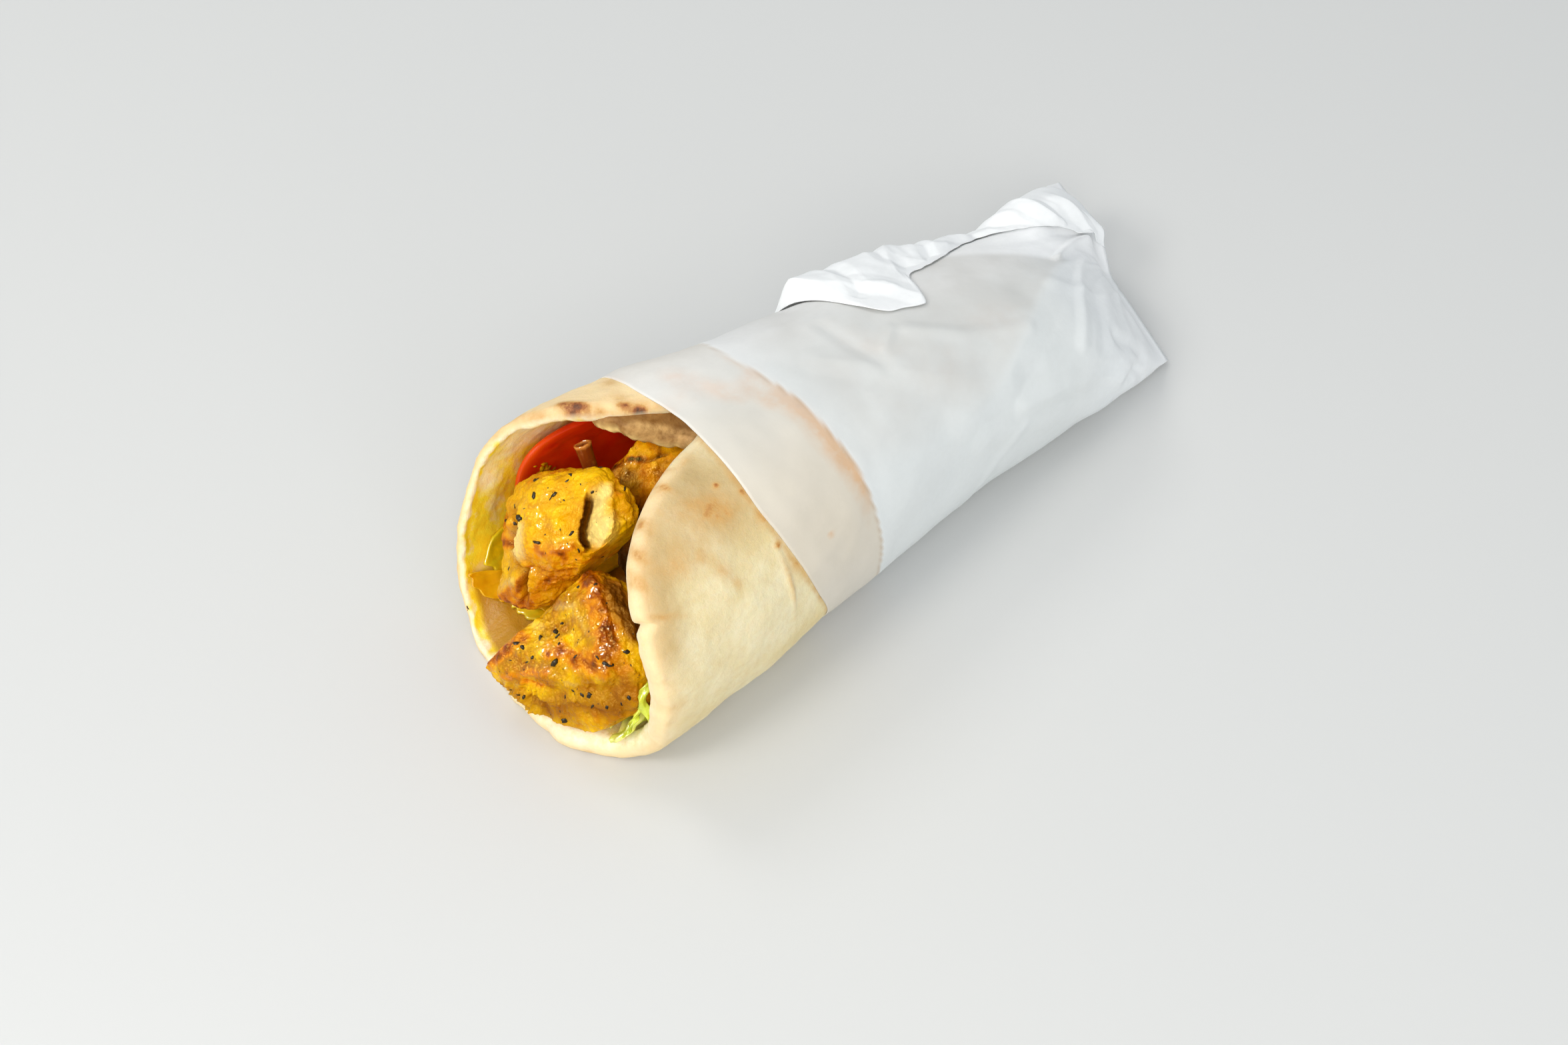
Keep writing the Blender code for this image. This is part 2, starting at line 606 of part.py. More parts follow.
def main():
    """Build the wrap."""
    clear_scene()
    wrap = new_collection("souvlaki wrap")
    cutters = new_collection("cutters")
    make_bread(wrap, cutters)
    make_paper(wrap)
    make_core(wrap)
    make_front_chunks(wrap, cutters)
    make_tomato(wrap)
    make_onion_tube(wrap)
    make_leaf("lettuce_left", LEFT_LEAF, 0.0, 0.0, "lettuce", LEAF_THICK, wrap)
    make_leaf("onion_petal", PETAL, 0.0, LEAF_THICK + GAP, "onion", PETAL_THICK, wrap)
    make_leaf("lettuce_right", RIGHT_LEAF, RIGHT_LEAF_RUFFLE, 0.0, "lettuce", LEAF_THICK, wrap)
    bpy.data.collections.remove(cutters)

    base = bpy.data.objects.new("wrap_base", None)
    base.location = ORIGIN_SHIFT
    wrap.objects.link(base)
    for piece in wrap.objects:
        if piece.type == "MESH":
            piece.parent = base


main()
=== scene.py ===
# %% [markdown]
# # A souvlaki wrap
#
# The real thing is a soft flat bread, rolled by hand round grilled chicken, tomato, onion and
# lettuce. Thin white paper is wound round its lower two thirds and pressed flat at the tail.
# Food shows at once when it is too smooth or too even, so this lesson puts most of its work
# into small relief, and into colour that changes from place to place.
#
# The plain solids come first, as a fixed frame. Most pieces made here take the place of one of
# them, at the same size and in the same place.

import math
import random

import bmesh
import bpy
import numpy as np
from mathutils import Matrix, Vector, noise
from mathutils.bvhtree import BVHTree


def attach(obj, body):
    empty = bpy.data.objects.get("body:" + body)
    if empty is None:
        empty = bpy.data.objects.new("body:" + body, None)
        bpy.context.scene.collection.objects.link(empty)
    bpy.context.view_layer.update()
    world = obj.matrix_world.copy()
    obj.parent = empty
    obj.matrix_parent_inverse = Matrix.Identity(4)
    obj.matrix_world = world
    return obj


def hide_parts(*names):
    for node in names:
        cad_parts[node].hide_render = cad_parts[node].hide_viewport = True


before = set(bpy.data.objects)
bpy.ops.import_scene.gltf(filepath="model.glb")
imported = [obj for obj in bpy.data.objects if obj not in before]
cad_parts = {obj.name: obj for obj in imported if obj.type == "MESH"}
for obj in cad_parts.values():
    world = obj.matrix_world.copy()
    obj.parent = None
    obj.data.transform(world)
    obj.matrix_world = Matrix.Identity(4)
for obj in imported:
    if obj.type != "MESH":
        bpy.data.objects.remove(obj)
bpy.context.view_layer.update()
MM = 0.001
ORIGIN_SHIFT = np.array((-2.60, 2.70, 0.0)) * MM

# %% [markdown]
# ## The camera
#
# The picture was taken from above and in front of the mouth, at about 60 cm. A longer lens
# from further away would make the tail look as large as the mouth, so the distance matters as
# much as the angle. The camera is placed by its own three directions, because that is how the
# angle was read from the picture.

# %% Set up the camera
CAMERA_PLACE = np.array((-308.5, -333.7, 463.7)) * MM + ORIGIN_SHIFT
CAMERA_RIGHT = Vector((0.76681, -0.64147, 0.02280))
CAMERA_UP = Vector((0.44948, 0.56198, 0.69437))
CAMERA_AHEAD = Vector((0.45823, 0.52221, -0.71926))

camera_data = bpy.data.cameras.new("camera")
camera_data.lens = 65.39
camera_data.sensor_width = 36.0
camera = bpy.data.objects.new("camera", camera_data)
camera.matrix_world = Matrix((CAMERA_RIGHT, CAMERA_UP, -CAMERA_AHEAD)).transposed().to_4x4()
camera.location = CAMERA_PLACE
bpy.context.scene.collection.objects.link(camera)
bpy.context.scene.camera = camera
bpy.context.scene.view_settings.view_transform = "Standard"
print("camera looks from", [round(v, 3) for v in camera.location])

# %% [markdown]
# ## The form of the roll
#
# A rolled bread is a tube that changes shape along its length: round at the mouth, pressed
# flat where it lies, and squashed at the tail. It could be sculpted, or lofted from curves. Here
# it is a function. Give it a distance along the roll and an angle round it, and it gives back a
# point on the outside. Bread, paper, tomato and leaves are all flat sheets that are laid on that
# one surface at their own depths, so they can't cut through each other.
#
# The first helper draws a smooth curve through a few named points, and the second fades from 0 to
# 1. They are used for nearly everything that follows.

# %% Smooth curves and fades
def smooth_through(table, at, column=1, period=None):
    """Read a smooth curve through the rows of a table at some values of its first column."""
    rows = np.array(table, float)
    key, value = rows[:, 0], rows[:, column]
    if period:
        at = (at - key[0]) % period + key[0]
        key = np.concatenate((key[-2:] - period, key, key[:2] + period))
        value = np.concatenate((value[-2:], value, value[:2]))
    at = np.clip(at, key[0], key[-1])
    step = np.diff(key)
    slope = np.diff(value) / step
    tangent = np.concatenate(([slope[0]], (slope[1:] + slope[:-1]) / 2, [slope[-1]]))
    flat = np.concatenate(([False], slope[1:] * slope[:-1] <= 0, [False]))
    tangent[flat] = 0.0
    row = np.clip(np.searchsorted(key, at, side="right") - 1, 0, len(step) - 1)
    t = (at - key[row]) / step[row]
    start = value[row] * (1 + 2 * t) * (1 - t) ** 2 + tangent[row] * step[row] * t * (1 - t) ** 2
    end = value[row + 1] * t * t * (3 - 2 * t) - tangent[row + 1] * step[row] * t * t * (1 - t)
    return start + end


def ramp(value, low, high):
    """Rise smoothly from 0 at low to 1 at high."""
    t = np.clip((value - low) / (high - low), 0.0, 1.0)
    return t * t * (3 - 2 * t)


def hump(value, middle, reach):
    """A soft hump of height 1 round a middle."""
    return np.exp(-((value - middle) / reach) ** 2)


def half_turn(angle):
    """The same angle, between -180 and 180 degrees."""
    return (angle + 180) % 360 - 180


print("halfway up a fade:", float(ramp(0.5, 0, 1)))

# %% [markdown]
# The roll's sections are given at eight places along it. The angle starts at the top, and goes
# by the near side, the underside and the far side, so 90 degrees faces the reader.

# %% The roll's sections
SECTIONS = (   # x, centre y, half width, height, sag pressed flat by the floor, lift, all in mm
    (-92, -7.0, 33.1, 52.0, 3.7, 0.0),
    (-70, -3.5, 37.0, 55.2, 3.2, 0.0),
    (-45, -2.5, 35.7, 55.6, 2.1, 0.0),
    (-15, -1.3, 31.6, 53.0, 1.5, 0.0),
    (20, 0.3, 27.3, 48.3, 1.4, 0.0),
    (50, 2.1, 26.1, 41.0, 1.2, 0.0),
    (75, 5.5, 25.6, 28.0, 1.0, 1.5),
    (97, 10.5, 24.8, 5.5, 0.8, 6.0),
)


def section_at(x):
    """Centre y, half width, half height, centre z and lift of the roll's section at x."""
    centre, width, height, sag, lift = (
        smooth_through(SECTIONS, x / MM, column) * MM for column in range(1, 6)
    )
    half_height = (height + sag) / 2
    return centre, width, half_height, lift + half_height - sag, lift


print("half width in the middle, in mm:", round(float(section_at(0.0)[1] / MM), 1))

# %% [markdown]
# Each section is a rounded box rather than an ellipse, because bread that is wound tightly has
# flat sides and full shoulders. The power in the formula says how square it is. The floor then
# presses it flat below, and towards the tail it is skewed and tilted, as the twist left it.

# %% The outside of the roll
ROUND_TOP, ROUND_SHOULDER, ROUND_BOTTOM = 2.3, 2.75, 2.6
FLOOR_BLEND = 1.5 * MM
TAIL_START, PAPER_BACK = 55.0 * MM, 97.0 * MM
TAIL_SKEW, TAIL_TILT = 0.16, 0.30


def press_flat(z, floor):
    """Keep z above the floor, with a soft bend where it meets the floor."""
    over = z - floor
    bend = (over + FLOOR_BLEND) ** 2 / (4 * FLOOR_BLEND)
    over = np.where(over > FLOOR_BLEND, over, np.where(over < -FLOOR_BLEND, 0.0, bend))
    return floor + over


def section_reach(x, sine, cosine, width, half_height):
    """Distance from a section's centre to its outline, in the direction of an angle."""
    shoulder = ramp(-sine, 0, 0.4) * (1 - ramp(x, -50 * MM, -25 * MM))
    power = np.where(cosine > 0, ROUND_TOP + (ROUND_SHOULDER - ROUND_TOP) * shoulder, ROUND_BOTTOM)
    return (np.abs(sine / width) ** power + np.abs(cosine / half_height) ** power) ** (-1 / power)


def skin(x, angle):
    """Points of the roll's outside at x and at an angle in degrees."""
    centre, width, half_height, middle, lift = section_at(x)
    sine, cosine = np.sin(np.radians(angle)), np.cos(np.radians(angle))
    reach = section_reach(x, sine, cosine, width, half_height)
    y = centre - reach * sine
    z = press_flat(middle + reach * cosine, lift)
    tail = ramp(x, TAIL_START, PAPER_BACK)
    aside = y - centre
    z = np.maximum(z + tail * TAIL_TILT * aside, 0.0)
    return np.stack((x + tail * TAIL_SKEW * aside, y, z), -1)


top_of_mouth = skin(np.array([-45 * MM]), np.array([0.0]))[0]
print("top of the roll at the paper's edge, in mm:", np.round(top_of_mouth / MM, 1))

# %% [markdown]
# A layer lies at some depth under that outside. Two small steps on the surface, one along and
# one around, give the direction that stands square on it, and the depth is measured that way.

# %% Layers under the outside
STEP_ALONG, STEP_AROUND = 0.5 * MM, 0.5


def layer(x, angle, depth):
    """Points at a depth under the roll's outside."""
    here = skin(x, angle)
    along = skin(x + STEP_ALONG, angle) - skin(x - STEP_ALONG, angle)
    around = skin(x, angle + STEP_AROUND) - skin(x, angle - STEP_AROUND)
    outward = np.cross(around, along)
    outward /= np.linalg.norm(outward, axis=-1, keepdims=True)
    return here - outward * np.asarray(depth)[..., None]


print("5 mm under it:", np.round(layer(np.array([-45 * MM]), np.array([0.0]), [5 * MM])[0] / MM, 1))

# %% [markdown]
# ## Sheets
#
# Bread, leaf and paper are sheets. A sheet starts as Blender's flat grid. Extruding it gives a
# slab with two faces, and then every corner of it is moved to its place on the roll. The rim
# gets a few cuts of its own, so that it can be round like the edge of a real bread.

# %% Make and bend a sheet
def flat_sheet(around, along):
    """A flat grid in u and v, each from 0 to 1."""
    sheet = bmesh.new()
    bmesh.ops.create_grid(sheet, x_segments=around, y_segments=along, size=0.5)
    bmesh.ops.translate(sheet, verts=sheet.verts[:], vec=(0.5, 0.5, 0))
    return sheet


def flat_slab(around, along, rim_cuts):
    """A flat slab in u, v and w, each from 0 to 1; w is 0 outside and 1 inside."""
    slab = flat_sheet(around, along)
    grown = bmesh.ops.extrude_face_region(slab, geom=slab.faces[:])["geom"]
    top = [item for item in grown if isinstance(item, bmesh.types.BMVert)]
    bmesh.ops.translate(slab, verts=top, vec=(0, 0, 1))
    if rim_cuts:
        rim = [e for e in slab.edges if abs(e.verts[0].co.z - e.verts[1].co.z) > 0.5]
        bmesh.ops.subdivide_edges(slab, edges=rim, cuts=rim_cuts, use_grid_fill=True)
    return slab


def open_tube(segments, cuts, low=1, high=1, length=1):
    """An upright tube with open ends, cut into rings."""
    tube = bmesh.new()
    bmesh.ops.create_cone(
        tube, cap_ends=False, segments=segments, radius1=low, radius2=high, depth=length
    )
    uprights = [e for e in tube.edges if abs(e.verts[0].co.z - e.verts[1].co.z) > length / 2]
    bmesh.ops.subdivide_edges(tube, edges=uprights, cuts=cuts)
    return tube


def points_of(bm):
    """All points of a bmesh as an array."""
    return np.array([v.co for v in bm.verts], float)


def move_points(bm, places):
    """Put every point of a bmesh in a new place."""
    for vertex, place in zip(bm.verts, places):
        vertex.co = Vector(place)


def round_rim(w, size):
    """How far a round rim draws back, and the level in the thickness, for even steps w."""
    return size * (1 - np.sin(np.pi * w)), (1 - np.cos(np.pi * w)) / 2


sample = flat_slab(4, 3, 2)
print("a small slab has", len(sample.verts), "points")
sample.free()

# %% [markdown]
# Nothing on food is exactly even. These helpers give a soft, seeded unevenness: the same places
# always get the same bumps, so the wrap looks the same on every run. Real surfaces have bumps of
# several sizes at once, so one call can add up a few of them.

# %% Seeded unevenness
def seeded(seed):
    """A far-off place in the noise, one for each seed."""
    return Vector((seed * 7.31, seed * 3.17, seed * 5.73))


def wobble(points, size, seed):
    """Soft unevenness, mostly between -0.6 and 0.6, one value for each point."""
    offset = seeded(seed)
    return np.array([noise.noise(Vector(p) / size + offset) for p in points])


def uneven(points, *rows):
    """Add up unevenness of several sizes. Rows: size, seed, height."""
    return sum(wobble(points, size, seed) * height for size, seed, height in rows)


def cells(points, size, seed):
    """Distance to the nearest of many scattered centres, about 0 to 1, one value for each point."""
    offset = seeded(seed)
    return np.array([noise.voronoi(Vector(p) / size + offset)[0][0] for p in points])


print("unevenness at one point:", wobble([(0.01, 0.02, 0.03)], 5 * MM, 1).round(3))

# %% [markdown]
# Creases, ridges and burnt streaks follow lines, and toast comes in spots. Both are kept in
# short tables, placed where the picture shows them, and these helpers turn the tables
# into a soft value for each point.

# %% Lines and spots
MM_PER_DEGREE = 0.5         # an even scale for angles, near the roll's mean size


def line_distance(a, b, line):
    """Distance of points (a, b) from a line through some points."""
    nearest = np.full(np.shape(a), 1e9)
    for (a0, b0), (a1, b1) in zip(line[:-1], line[1:]):
        run = np.array((a1 - a0, b1 - b0))
        t = np.clip(((a - a0) * run[0] + (b - b0) * run[1]) / (run @ run), 0, 1)
        nearest = np.minimum(nearest, np.hypot(a - a0 - t * run[0], b - b0 - t * run[1]))
    return nearest


def near_line(a, b, line, reach):
    """1 on a line through some points, fading to 0 at a distance."""
    return np.exp(-(line_distance(a, b, line) / reach) ** 2)


def drawn(a, b, rows):
    """Add up soft strokes. Rows: strength, reach in mm, line."""
    return sum(strength * near_line(a, b, line, reach) for strength, reach, line in rows)


def spots(x, angle, table):
    """Soft spots on the roll. Rows: x in mm, angle, length and width in mm, turn, strength."""
    total = np.zeros_like(x)
    for place, turned, length, width, turn, strength in table:
        along = x / MM - place
        across = half_turn(angle - turned) * MM_PER_DEGREE
        cos, sin = math.cos(math.radians(turn)), math.sin(math.radians(turn))
        run, side = along * cos + across * sin, across * cos - along * sin
        total = total + strength * np.exp(-(run / length) ** 2 - (side / width) ** 2)
    return total


print("half a reach from a line:", near_line(np.array([0.0]), 1.0, ((-1, 0), (1, 0)), 2.0).round(2))

# %% [markdown]
# ## Building materials
#
# A material is a small net of nodes. These helpers keep the nets readable. Patterns are placed
# by Object coordinates, which are metres here, so a noise of scale 500 has grains of 2 mm. Where
# a colour follows the shape, such as toast on a rim, the mesh carries a mark: one number per
# point, which the material reads by name.

# %% Add nodes
def shade(tree, kind, sockets=None, **settings):
    """Add a shader node and fill its sockets with values or with other nodes' outputs."""
    node = tree.nodes.new("ShaderNode" + kind)
    for name, value in settings.items():
        setattr(node, name, value)
    for name, value in (sockets or {}).items():
        if isinstance(value, bpy.types.NodeSocket):
            tree.links.new(value, node.inputs[name])
        else:
            node.inputs[name].default_value = value
    return node


def new_finish(name):
    """Start a material and give back it, its node tree and its shader."""
    material = bpy.data.materials.new(name)
    material.use_nodes = True
    return material, material.node_tree, material.node_tree.nodes["Principled BSDF"]


def grain(tree, scale, detail=3.0, roughness=0.55, stretch=None):
    """A noise on Object coordinates, from 0 to 1. A stretch is a turn and three sizes."""
    place = shade(tree, "TexCoord").outputs["Object"]
    if stretch:
        turn, size = stretch
        sockets = {"Vector": place, "Rotation": turn, "Scale": size}
        place = shade(tree, "Mapping", sockets).outputs[0]
    sockets = {"Vector": place, "Scale": scale, "Detail": detail, "Roughness": roughness}
    return shade(tree, "TexNoise", sockets).outputs["Fac"]


def mark(tree, name):
    """Read a mark from the mesh."""
    return shade(tree, "Attribute", attribute_name=name, attribute_type="GEOMETRY").outputs["Fac"]


print("nodes can be added")

# %% [markdown]
# Food is painted in coats, each laid over the last, as a scale modeller would do it. Each coat
# has a share, which is a noise or a mark, and two values of it between which the coat goes from
# nothing to its full strength.

# %% Paint in coats
def spread(tree, value, low, high, start=0.0, end=1.0):
    """Stretch low..high of a value to start..end."""
    sockets = {"Value": value, 1: low, 2: high, 3: start, 4: end}
    return shade(tree, "MapRange", sockets, clamp=True).outputs[0]


def times(tree, first, second):
    """One value times another."""
    return shade(tree, "Math", {0: first, 1: second}, operation="MULTIPLY").outputs[0]


def tint(tree, share, first, second):
    """Mix two colours."""
    return shade(tree, "Mix", {0: share, 6: first, 7: second}, data_type="RGBA").outputs[2]


def colour(red, green, blue):
    """A colour in the form that sockets want."""
    return (red, green, blue, 1.0)


def paint(tree, ground, coats):
    """Paint coats over a ground colour. Coats: share, low, high, strength, colour."""
    result = ground if isinstance(ground, bpy.types.NodeSocket) else colour(*ground)
    for share, low, high, strength, coat in coats:
        result = tint(tree, spread(tree, share, low, high, 0.0, strength), result, colour(*coat))
    return result


def roughen(tree, shader, heights):
    """Stack bumps on a shader. Rows: height value, depth in metres, strength."""
    normal = None
    for height, depth, strength in heights:
        sockets = {"Height": height, "Distance": depth, "Strength": strength}
        if normal:
            sockets["Normal"] = normal
        normal = shade(tree, "Bump", sockets).outputs[0]
    tree.links.new(normal, shader.inputs["Normal"])


def feed(tree, shader, sockets):
    """Fill several sockets of a shader."""
    for name, value in sockets.items():
        if isinstance(value, bpy.types.NodeSocket):
            tree.links.new(value, shader.inputs[name])
        else:
            shader.inputs[name].default_value = value


print("white as a socket takes it:", colour(1, 1, 1))

# %% [markdown]
# The last helper turns a finished bmesh into an object. It moves the mesh into the wrap's own
# frame, writes the marks, smooths the shading and hides the plain solid that the piece stands for.

# %% Finish a piece
def face_outwards(bm, middle=None):
    """Make all faces agree, and point away from a middle. A closed shape needs no middle."""
    bmesh.ops.recalc_face_normals(bm, faces=bm.faces[:])
    middle = Vector(points_of(bm).mean(0)) if middle is None else middle
    facing = sum(f.calc_area() * f.normal.dot(f.calc_center_median() - middle) for f in bm.faces)
    if facing < 0:
        bmesh.ops.reverse_faces(bm, faces=bm.faces[:])


def add_piece(name, bm, material, replaces=None, marks=None, middle=None):
    """Turn a bmesh into a finished piece that rides on the wrap."""
    face_outwards(bm, middle)
    bmesh.ops.translate(bm, verts=bm.verts[:], vec=Vector(ORIGIN_SHIFT))
    mesh = bpy.data.meshes.new(name)
    bm.to_mesh(mesh)
    bm.free()
    mesh.shade_smooth()
    mesh.materials.append(material)
    for mark_name, values in (marks or {}).items():
        attribute = mesh.attributes.new(mark_name, "FLOAT", "POINT")
        attribute.data.foreach_set("value", np.asarray(values, np.float32))
    piece = bpy.data.objects.new(name, mesh)
    bpy.context.scene.collection.objects.link(piece)
    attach(piece, "root")
    if replaces:
        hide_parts(replaces)
    print(f"{name}: {len(mesh.vertices)} points, {len(mesh.polygons)} faces")
    return piece


print("pieces ride on the body root")

# %% [markdown]
# ## The bread
#
# The bread is a soft white pita of about 5 mm, thinner on its far side. It was toasted on a
# griddle, so it is cream all over, with golden patches and a few dark blisters, mostly along the
# edge. Inside it is rougher, and turmeric from the chicken has stained it yellow, but for a pale
# line along the rim.
#
# Where the bread is toasted or stained could be left to a noise alone. The spots that one notices
# in the picture are listed one by one instead, and noise only breaks up their edges.

# %% Sizes of the bread
BREAD_THICK, FAR_WALL_THICK = 5.6 * MM, 3.3 * MM
PAPER_THICK, GAP = 0.8 * MM, 0.35 * MM
BREAD_BACK = 60.0 * MM
MOUTH_EDGE = (
    (5, -44.5), (8, -50.0), (13, -56.5), (21, -65.0), (31, -73.8), (42, -79.4), (57, -82.2),
    (80, -82.9), (100, -82.2), (115, -82.4), (130, -84.4), (147, -89.5), (165, -92.4), (190, -92.3),
    (214, -90.3), (235, -87.6), (259, -84.0), (276, -80.0), (294, -74.2), (308, -67.8),
    (320, -61.8), (334, -53.0), (350, -39.5),
)
PAPER_EDGE = (
    (0, -45.5), (39, -46.0), (58, -44.5), (75, -41.1), (92, -36.5), (107, -32.5), (140, -30.0),
    (200, -33.0), (260, -42.0), (312, -46.5), (360, -45.5),
)
RIM_THICK = (   # angle, thickness at the rim in mm
    (5, 5.2), (150, 5.6), (172, 5.0), (190, 4.0), (206, 3.0), (226, 2.1), (282, 2.0), (300, 2.5),
    (316, 3.5), (332, 4.4), (350, 4.4),
)
FLAP_TIP_ANGLE, FLAP_SIDE_ANGLE, STRIP_END_ANGLE = 5.0, -7.0, 350.0


def at_paper_edge(angle):
    """x of the paper's front edge in mm, at an angle."""
    return smooth_through(PAPER_EDGE, angle % 360)


def bread_depth(x, angle):
    """How far the bread's outside lies under the roll's outside, where paper covers it."""
    edge = at_paper_edge(angle) * MM
    return (PAPER_THICK + GAP) * ramp(x, edge - 22 * MM, edge - 2 * MM)


def bread_thickness(angle):
    """Thickness of the bread, which thins out from the bottom to the far side."""
    return BREAD_THICK + (FAR_WALL_THICK - BREAD_THICK) * ramp(angle, 215, 262)


print("bread thickness near and far, in mm:", bread_thickness(np.array([90, 300])) / MM)

# %% Where the bread is toasted
TOAST_SPOTS = (   # x, angle, length and width in mm, turn in degrees, strength
    (-60.7, 21, 2.6, 0.9, 62, 0.75),    # streak at the flap's front edge
    (-57, 15, 1.6, 1.0, 40, 0.35),
    (-55.5, 37, 7.5, 4.2, 20, 0.52),    # broad patch in the middle of the flap
    (-53.7, 40, 3.0, 2.2, 0, 0.42),
    (-69.7, 28, 2.4, 1.2, 60, 0.55),
    (-74.5, 37, 3.6, 1.6, 70, 0.60),
    (-77.4, 46, 3.2, 1.4, 80, 0.50),
    (-68.9, 48, 3.2, 2.0, 0, 0.34),
    (-63.4, 49, 2.4, 1.5, 0, 0.30),
    (-60.4, 57, 2.2, 1.3, 50, 0.46),
    (-58.3, 64, 1.8, 1.2, 50, 0.34),
    (-46, 51, 2.0, 1.6, 0, 0.30),
    (-66, 40, 11.0, 7.0, 30, 0.22),
    (-78.3, 92, 3.0, 2.0, 0, 0.24),
    (-50.6, 31, 0.8, 0.6, 0, 1.10),     # small dark dots
    (-45.7, 61, 0.8, 0.6, 0, 1.20),
    (-46.8, 38, 0.6, 0.5, 0, 0.60),
    (-45.0, 78, 6.0, 0.7, 84, 0.45),    # the wrinkle beside the paper
    (-43.5, 72, 3.0, 1.6, 70, 0.36),
    (-76.5, 58, 5.0, 0.6, 26, 0.45),    # the line that runs on from the notch
    (-58.6, 323, 3.4, 1.3, 54, 1.35),   # dark blister on the strip at the top
    (-60.5, 320, 2.0, 1.2, 54, 0.80),
    (-47.5, 317, 3.0, 2.6, 0, 0.45),
    (-50.5, 329, 3.5, 2.0, 50, 0.35),
    (-48.6, 341, 3.4, 2.0, 60, 0.60),
    (-53.4, 336, 4.0, 0.9, 52, 1.10),
    (-56.4, 332, 1.8, 0.8, 52, 0.90),
    (-51.4, 333.5, 1.5, 0.8, 40, 1.15),
    (-51.0, 338.5, 1.6, 0.7, 50, 1.00),
    (-49.2, 339, 1.2, 0.8, 50, 1.15),
    (-46.0, 348, 2.0, 1.0, 50, 0.60),
    (-66.0, 312, 5.0, 1.8, 58, 0.55),
    (-72.0, 300, 4.0, 1.6, 58, 0.35),
    (-83.5, 250, 1.2, 1.0, 0, 1.50),    # charred crumb on the outer rim
    (-86.0, 238, 3.0, 1.0, 80, 0.40),
    (-91.0, 190, 4.0, 1.0, 88, 0.35),
    (-88.5, 150, 3.0, 0.9, 88, 0.45),
    # under the paper, where they show through faintly
    (-27.2, 8, 3.5, 2.2, 80, 0.70),
    (-33.5, 352, 4.5, 2.6, 70, 0.95),
    (-37.2, 334, 4.0, 3.0, 60, 0.75),
    (-25.5, -6, 2.4, 7.0, 60, 0.65),
    (-23.6, 12, 3.0, 8.0, 0, 0.55),
    (-22.8, 32, 3.0, 8.0, 0, 0.50),
    (-21.4, 52, 2.6, 7.0, 0, 0.45),
    (-20.2, 70, 2.0, 6.0, 0, 0.20),
    (-31.7, 70, 1.0, 0.6, 0, 0.90),
    (-40.0, 345, 6.0, 4.0, 0, 0.40),
    (3.0, 8, 7.0, 4.0, 60, 0.80),
    (36.0, 26, 8.0, 6.0, 30, 0.80),
    (15.0, 38, 12.0, 7.0, 20, 0.45),
    (-62.0, 200, 9.0, 6.0, 0, 0.50),
    (-70.0, 150, 8.0, 5.0, 30, 0.45),
    (-55.0, 280, 7.0, 5.0, 30, 0.55),
    (-66.0, 265, 5.0, 3.0, 60, 0.50),
    (-52.0, 240, 6.0, 4.0, 0, 0.60),
)


def toast_at(x, angle):
    """How toasted the bread's outside is, from 0 to about 1.3."""
    return spots(x, angle, TOAST_SPOTS)


print("toast spots:", len(TOAST_SPOTS))

# %% [markdown]
# The bread's slab is bent round the roll in one go. Its front edge wanders in and out a little,
# because bread is not cut with a ruler. Most of the slab's rows lie in front of the paper, where
# they are seen, and only a few under it.

# %% Cut the bread's edge
HIDDEN_FROM = -28 * MM      # paper covers the bread from here on
SEEN_SHARE = 0.85           # of the slab's rows lie in front of that
NEAR_RADIUS = 27 * MM       # turns a width at the bread's side edges into degrees


bread = flat_slab(300, 150, 9)
u, v, w = points_of(bread).T
even_u = u ** 1.15
edge_angle = FLAP_TIP_ANGLE + (STRIP_END_ANGLE - FLAP_TIP_ANGLE) * even_u
rim_thick = smooth_through(RIM_THICK, edge_angle) * MM
drawn_back, w = round_rim(w, 0.40 * rim_thick)
edge_points = np.stack((edge_angle * MM_PER_DEGREE, edge_angle * 0, w * 1.5), -1)
front = smooth_through(MOUTH_EDGE, edge_angle) * MM
front = front + uneven(edge_points, (7, 1, 0.9), (2.6, 2, 0.35)) * MM
front = front + 1.5 * MM * hump(edge_angle, 56, 1.5)        # the notch in the flap's edge
start = front + drawn_back
x = start + (HIDDEN_FROM - start) * np.minimum(v / SEEN_SHARE, 1.0)
x = x + (BREAD_BACK - HIDDEN_FROM) * np.maximum((v - SEEN_SHARE) / (1 - SEEN_SHARE), 0.0)
turned_back = np.degrees(drawn_back / NEAR_RADIUS)
side = FLAP_TIP_ANGLE + (FLAP_SIDE_ANGLE - FLAP_TIP_ANGLE) * ramp(x / MM, -46, -34)
side = side + turned_back
angle = side + (STRIP_END_ANGLE - turned_back - side) * even_u
from_rim = (x - front) / MM
print("bread edge runs from", (front.min() / MM).round(1), "to", (front.max() / MM).round(1), "mm")

# %% [markdown]
# The outside gets broad, shallow swells and low blisters where it is toasted. The inside gets a
# rough crumb, which lies flat under the leaves, and the rim is the roughest part of all.

# %% Bend and roughen the bread
def swells_at(on_skin):
    """The bread's broad, shallow swells in mm. The paper that lies on it follows them."""
    return uneven(on_skin, (12 * MM, 3, 0.50), (4.5 * MM, 4, 0.16))


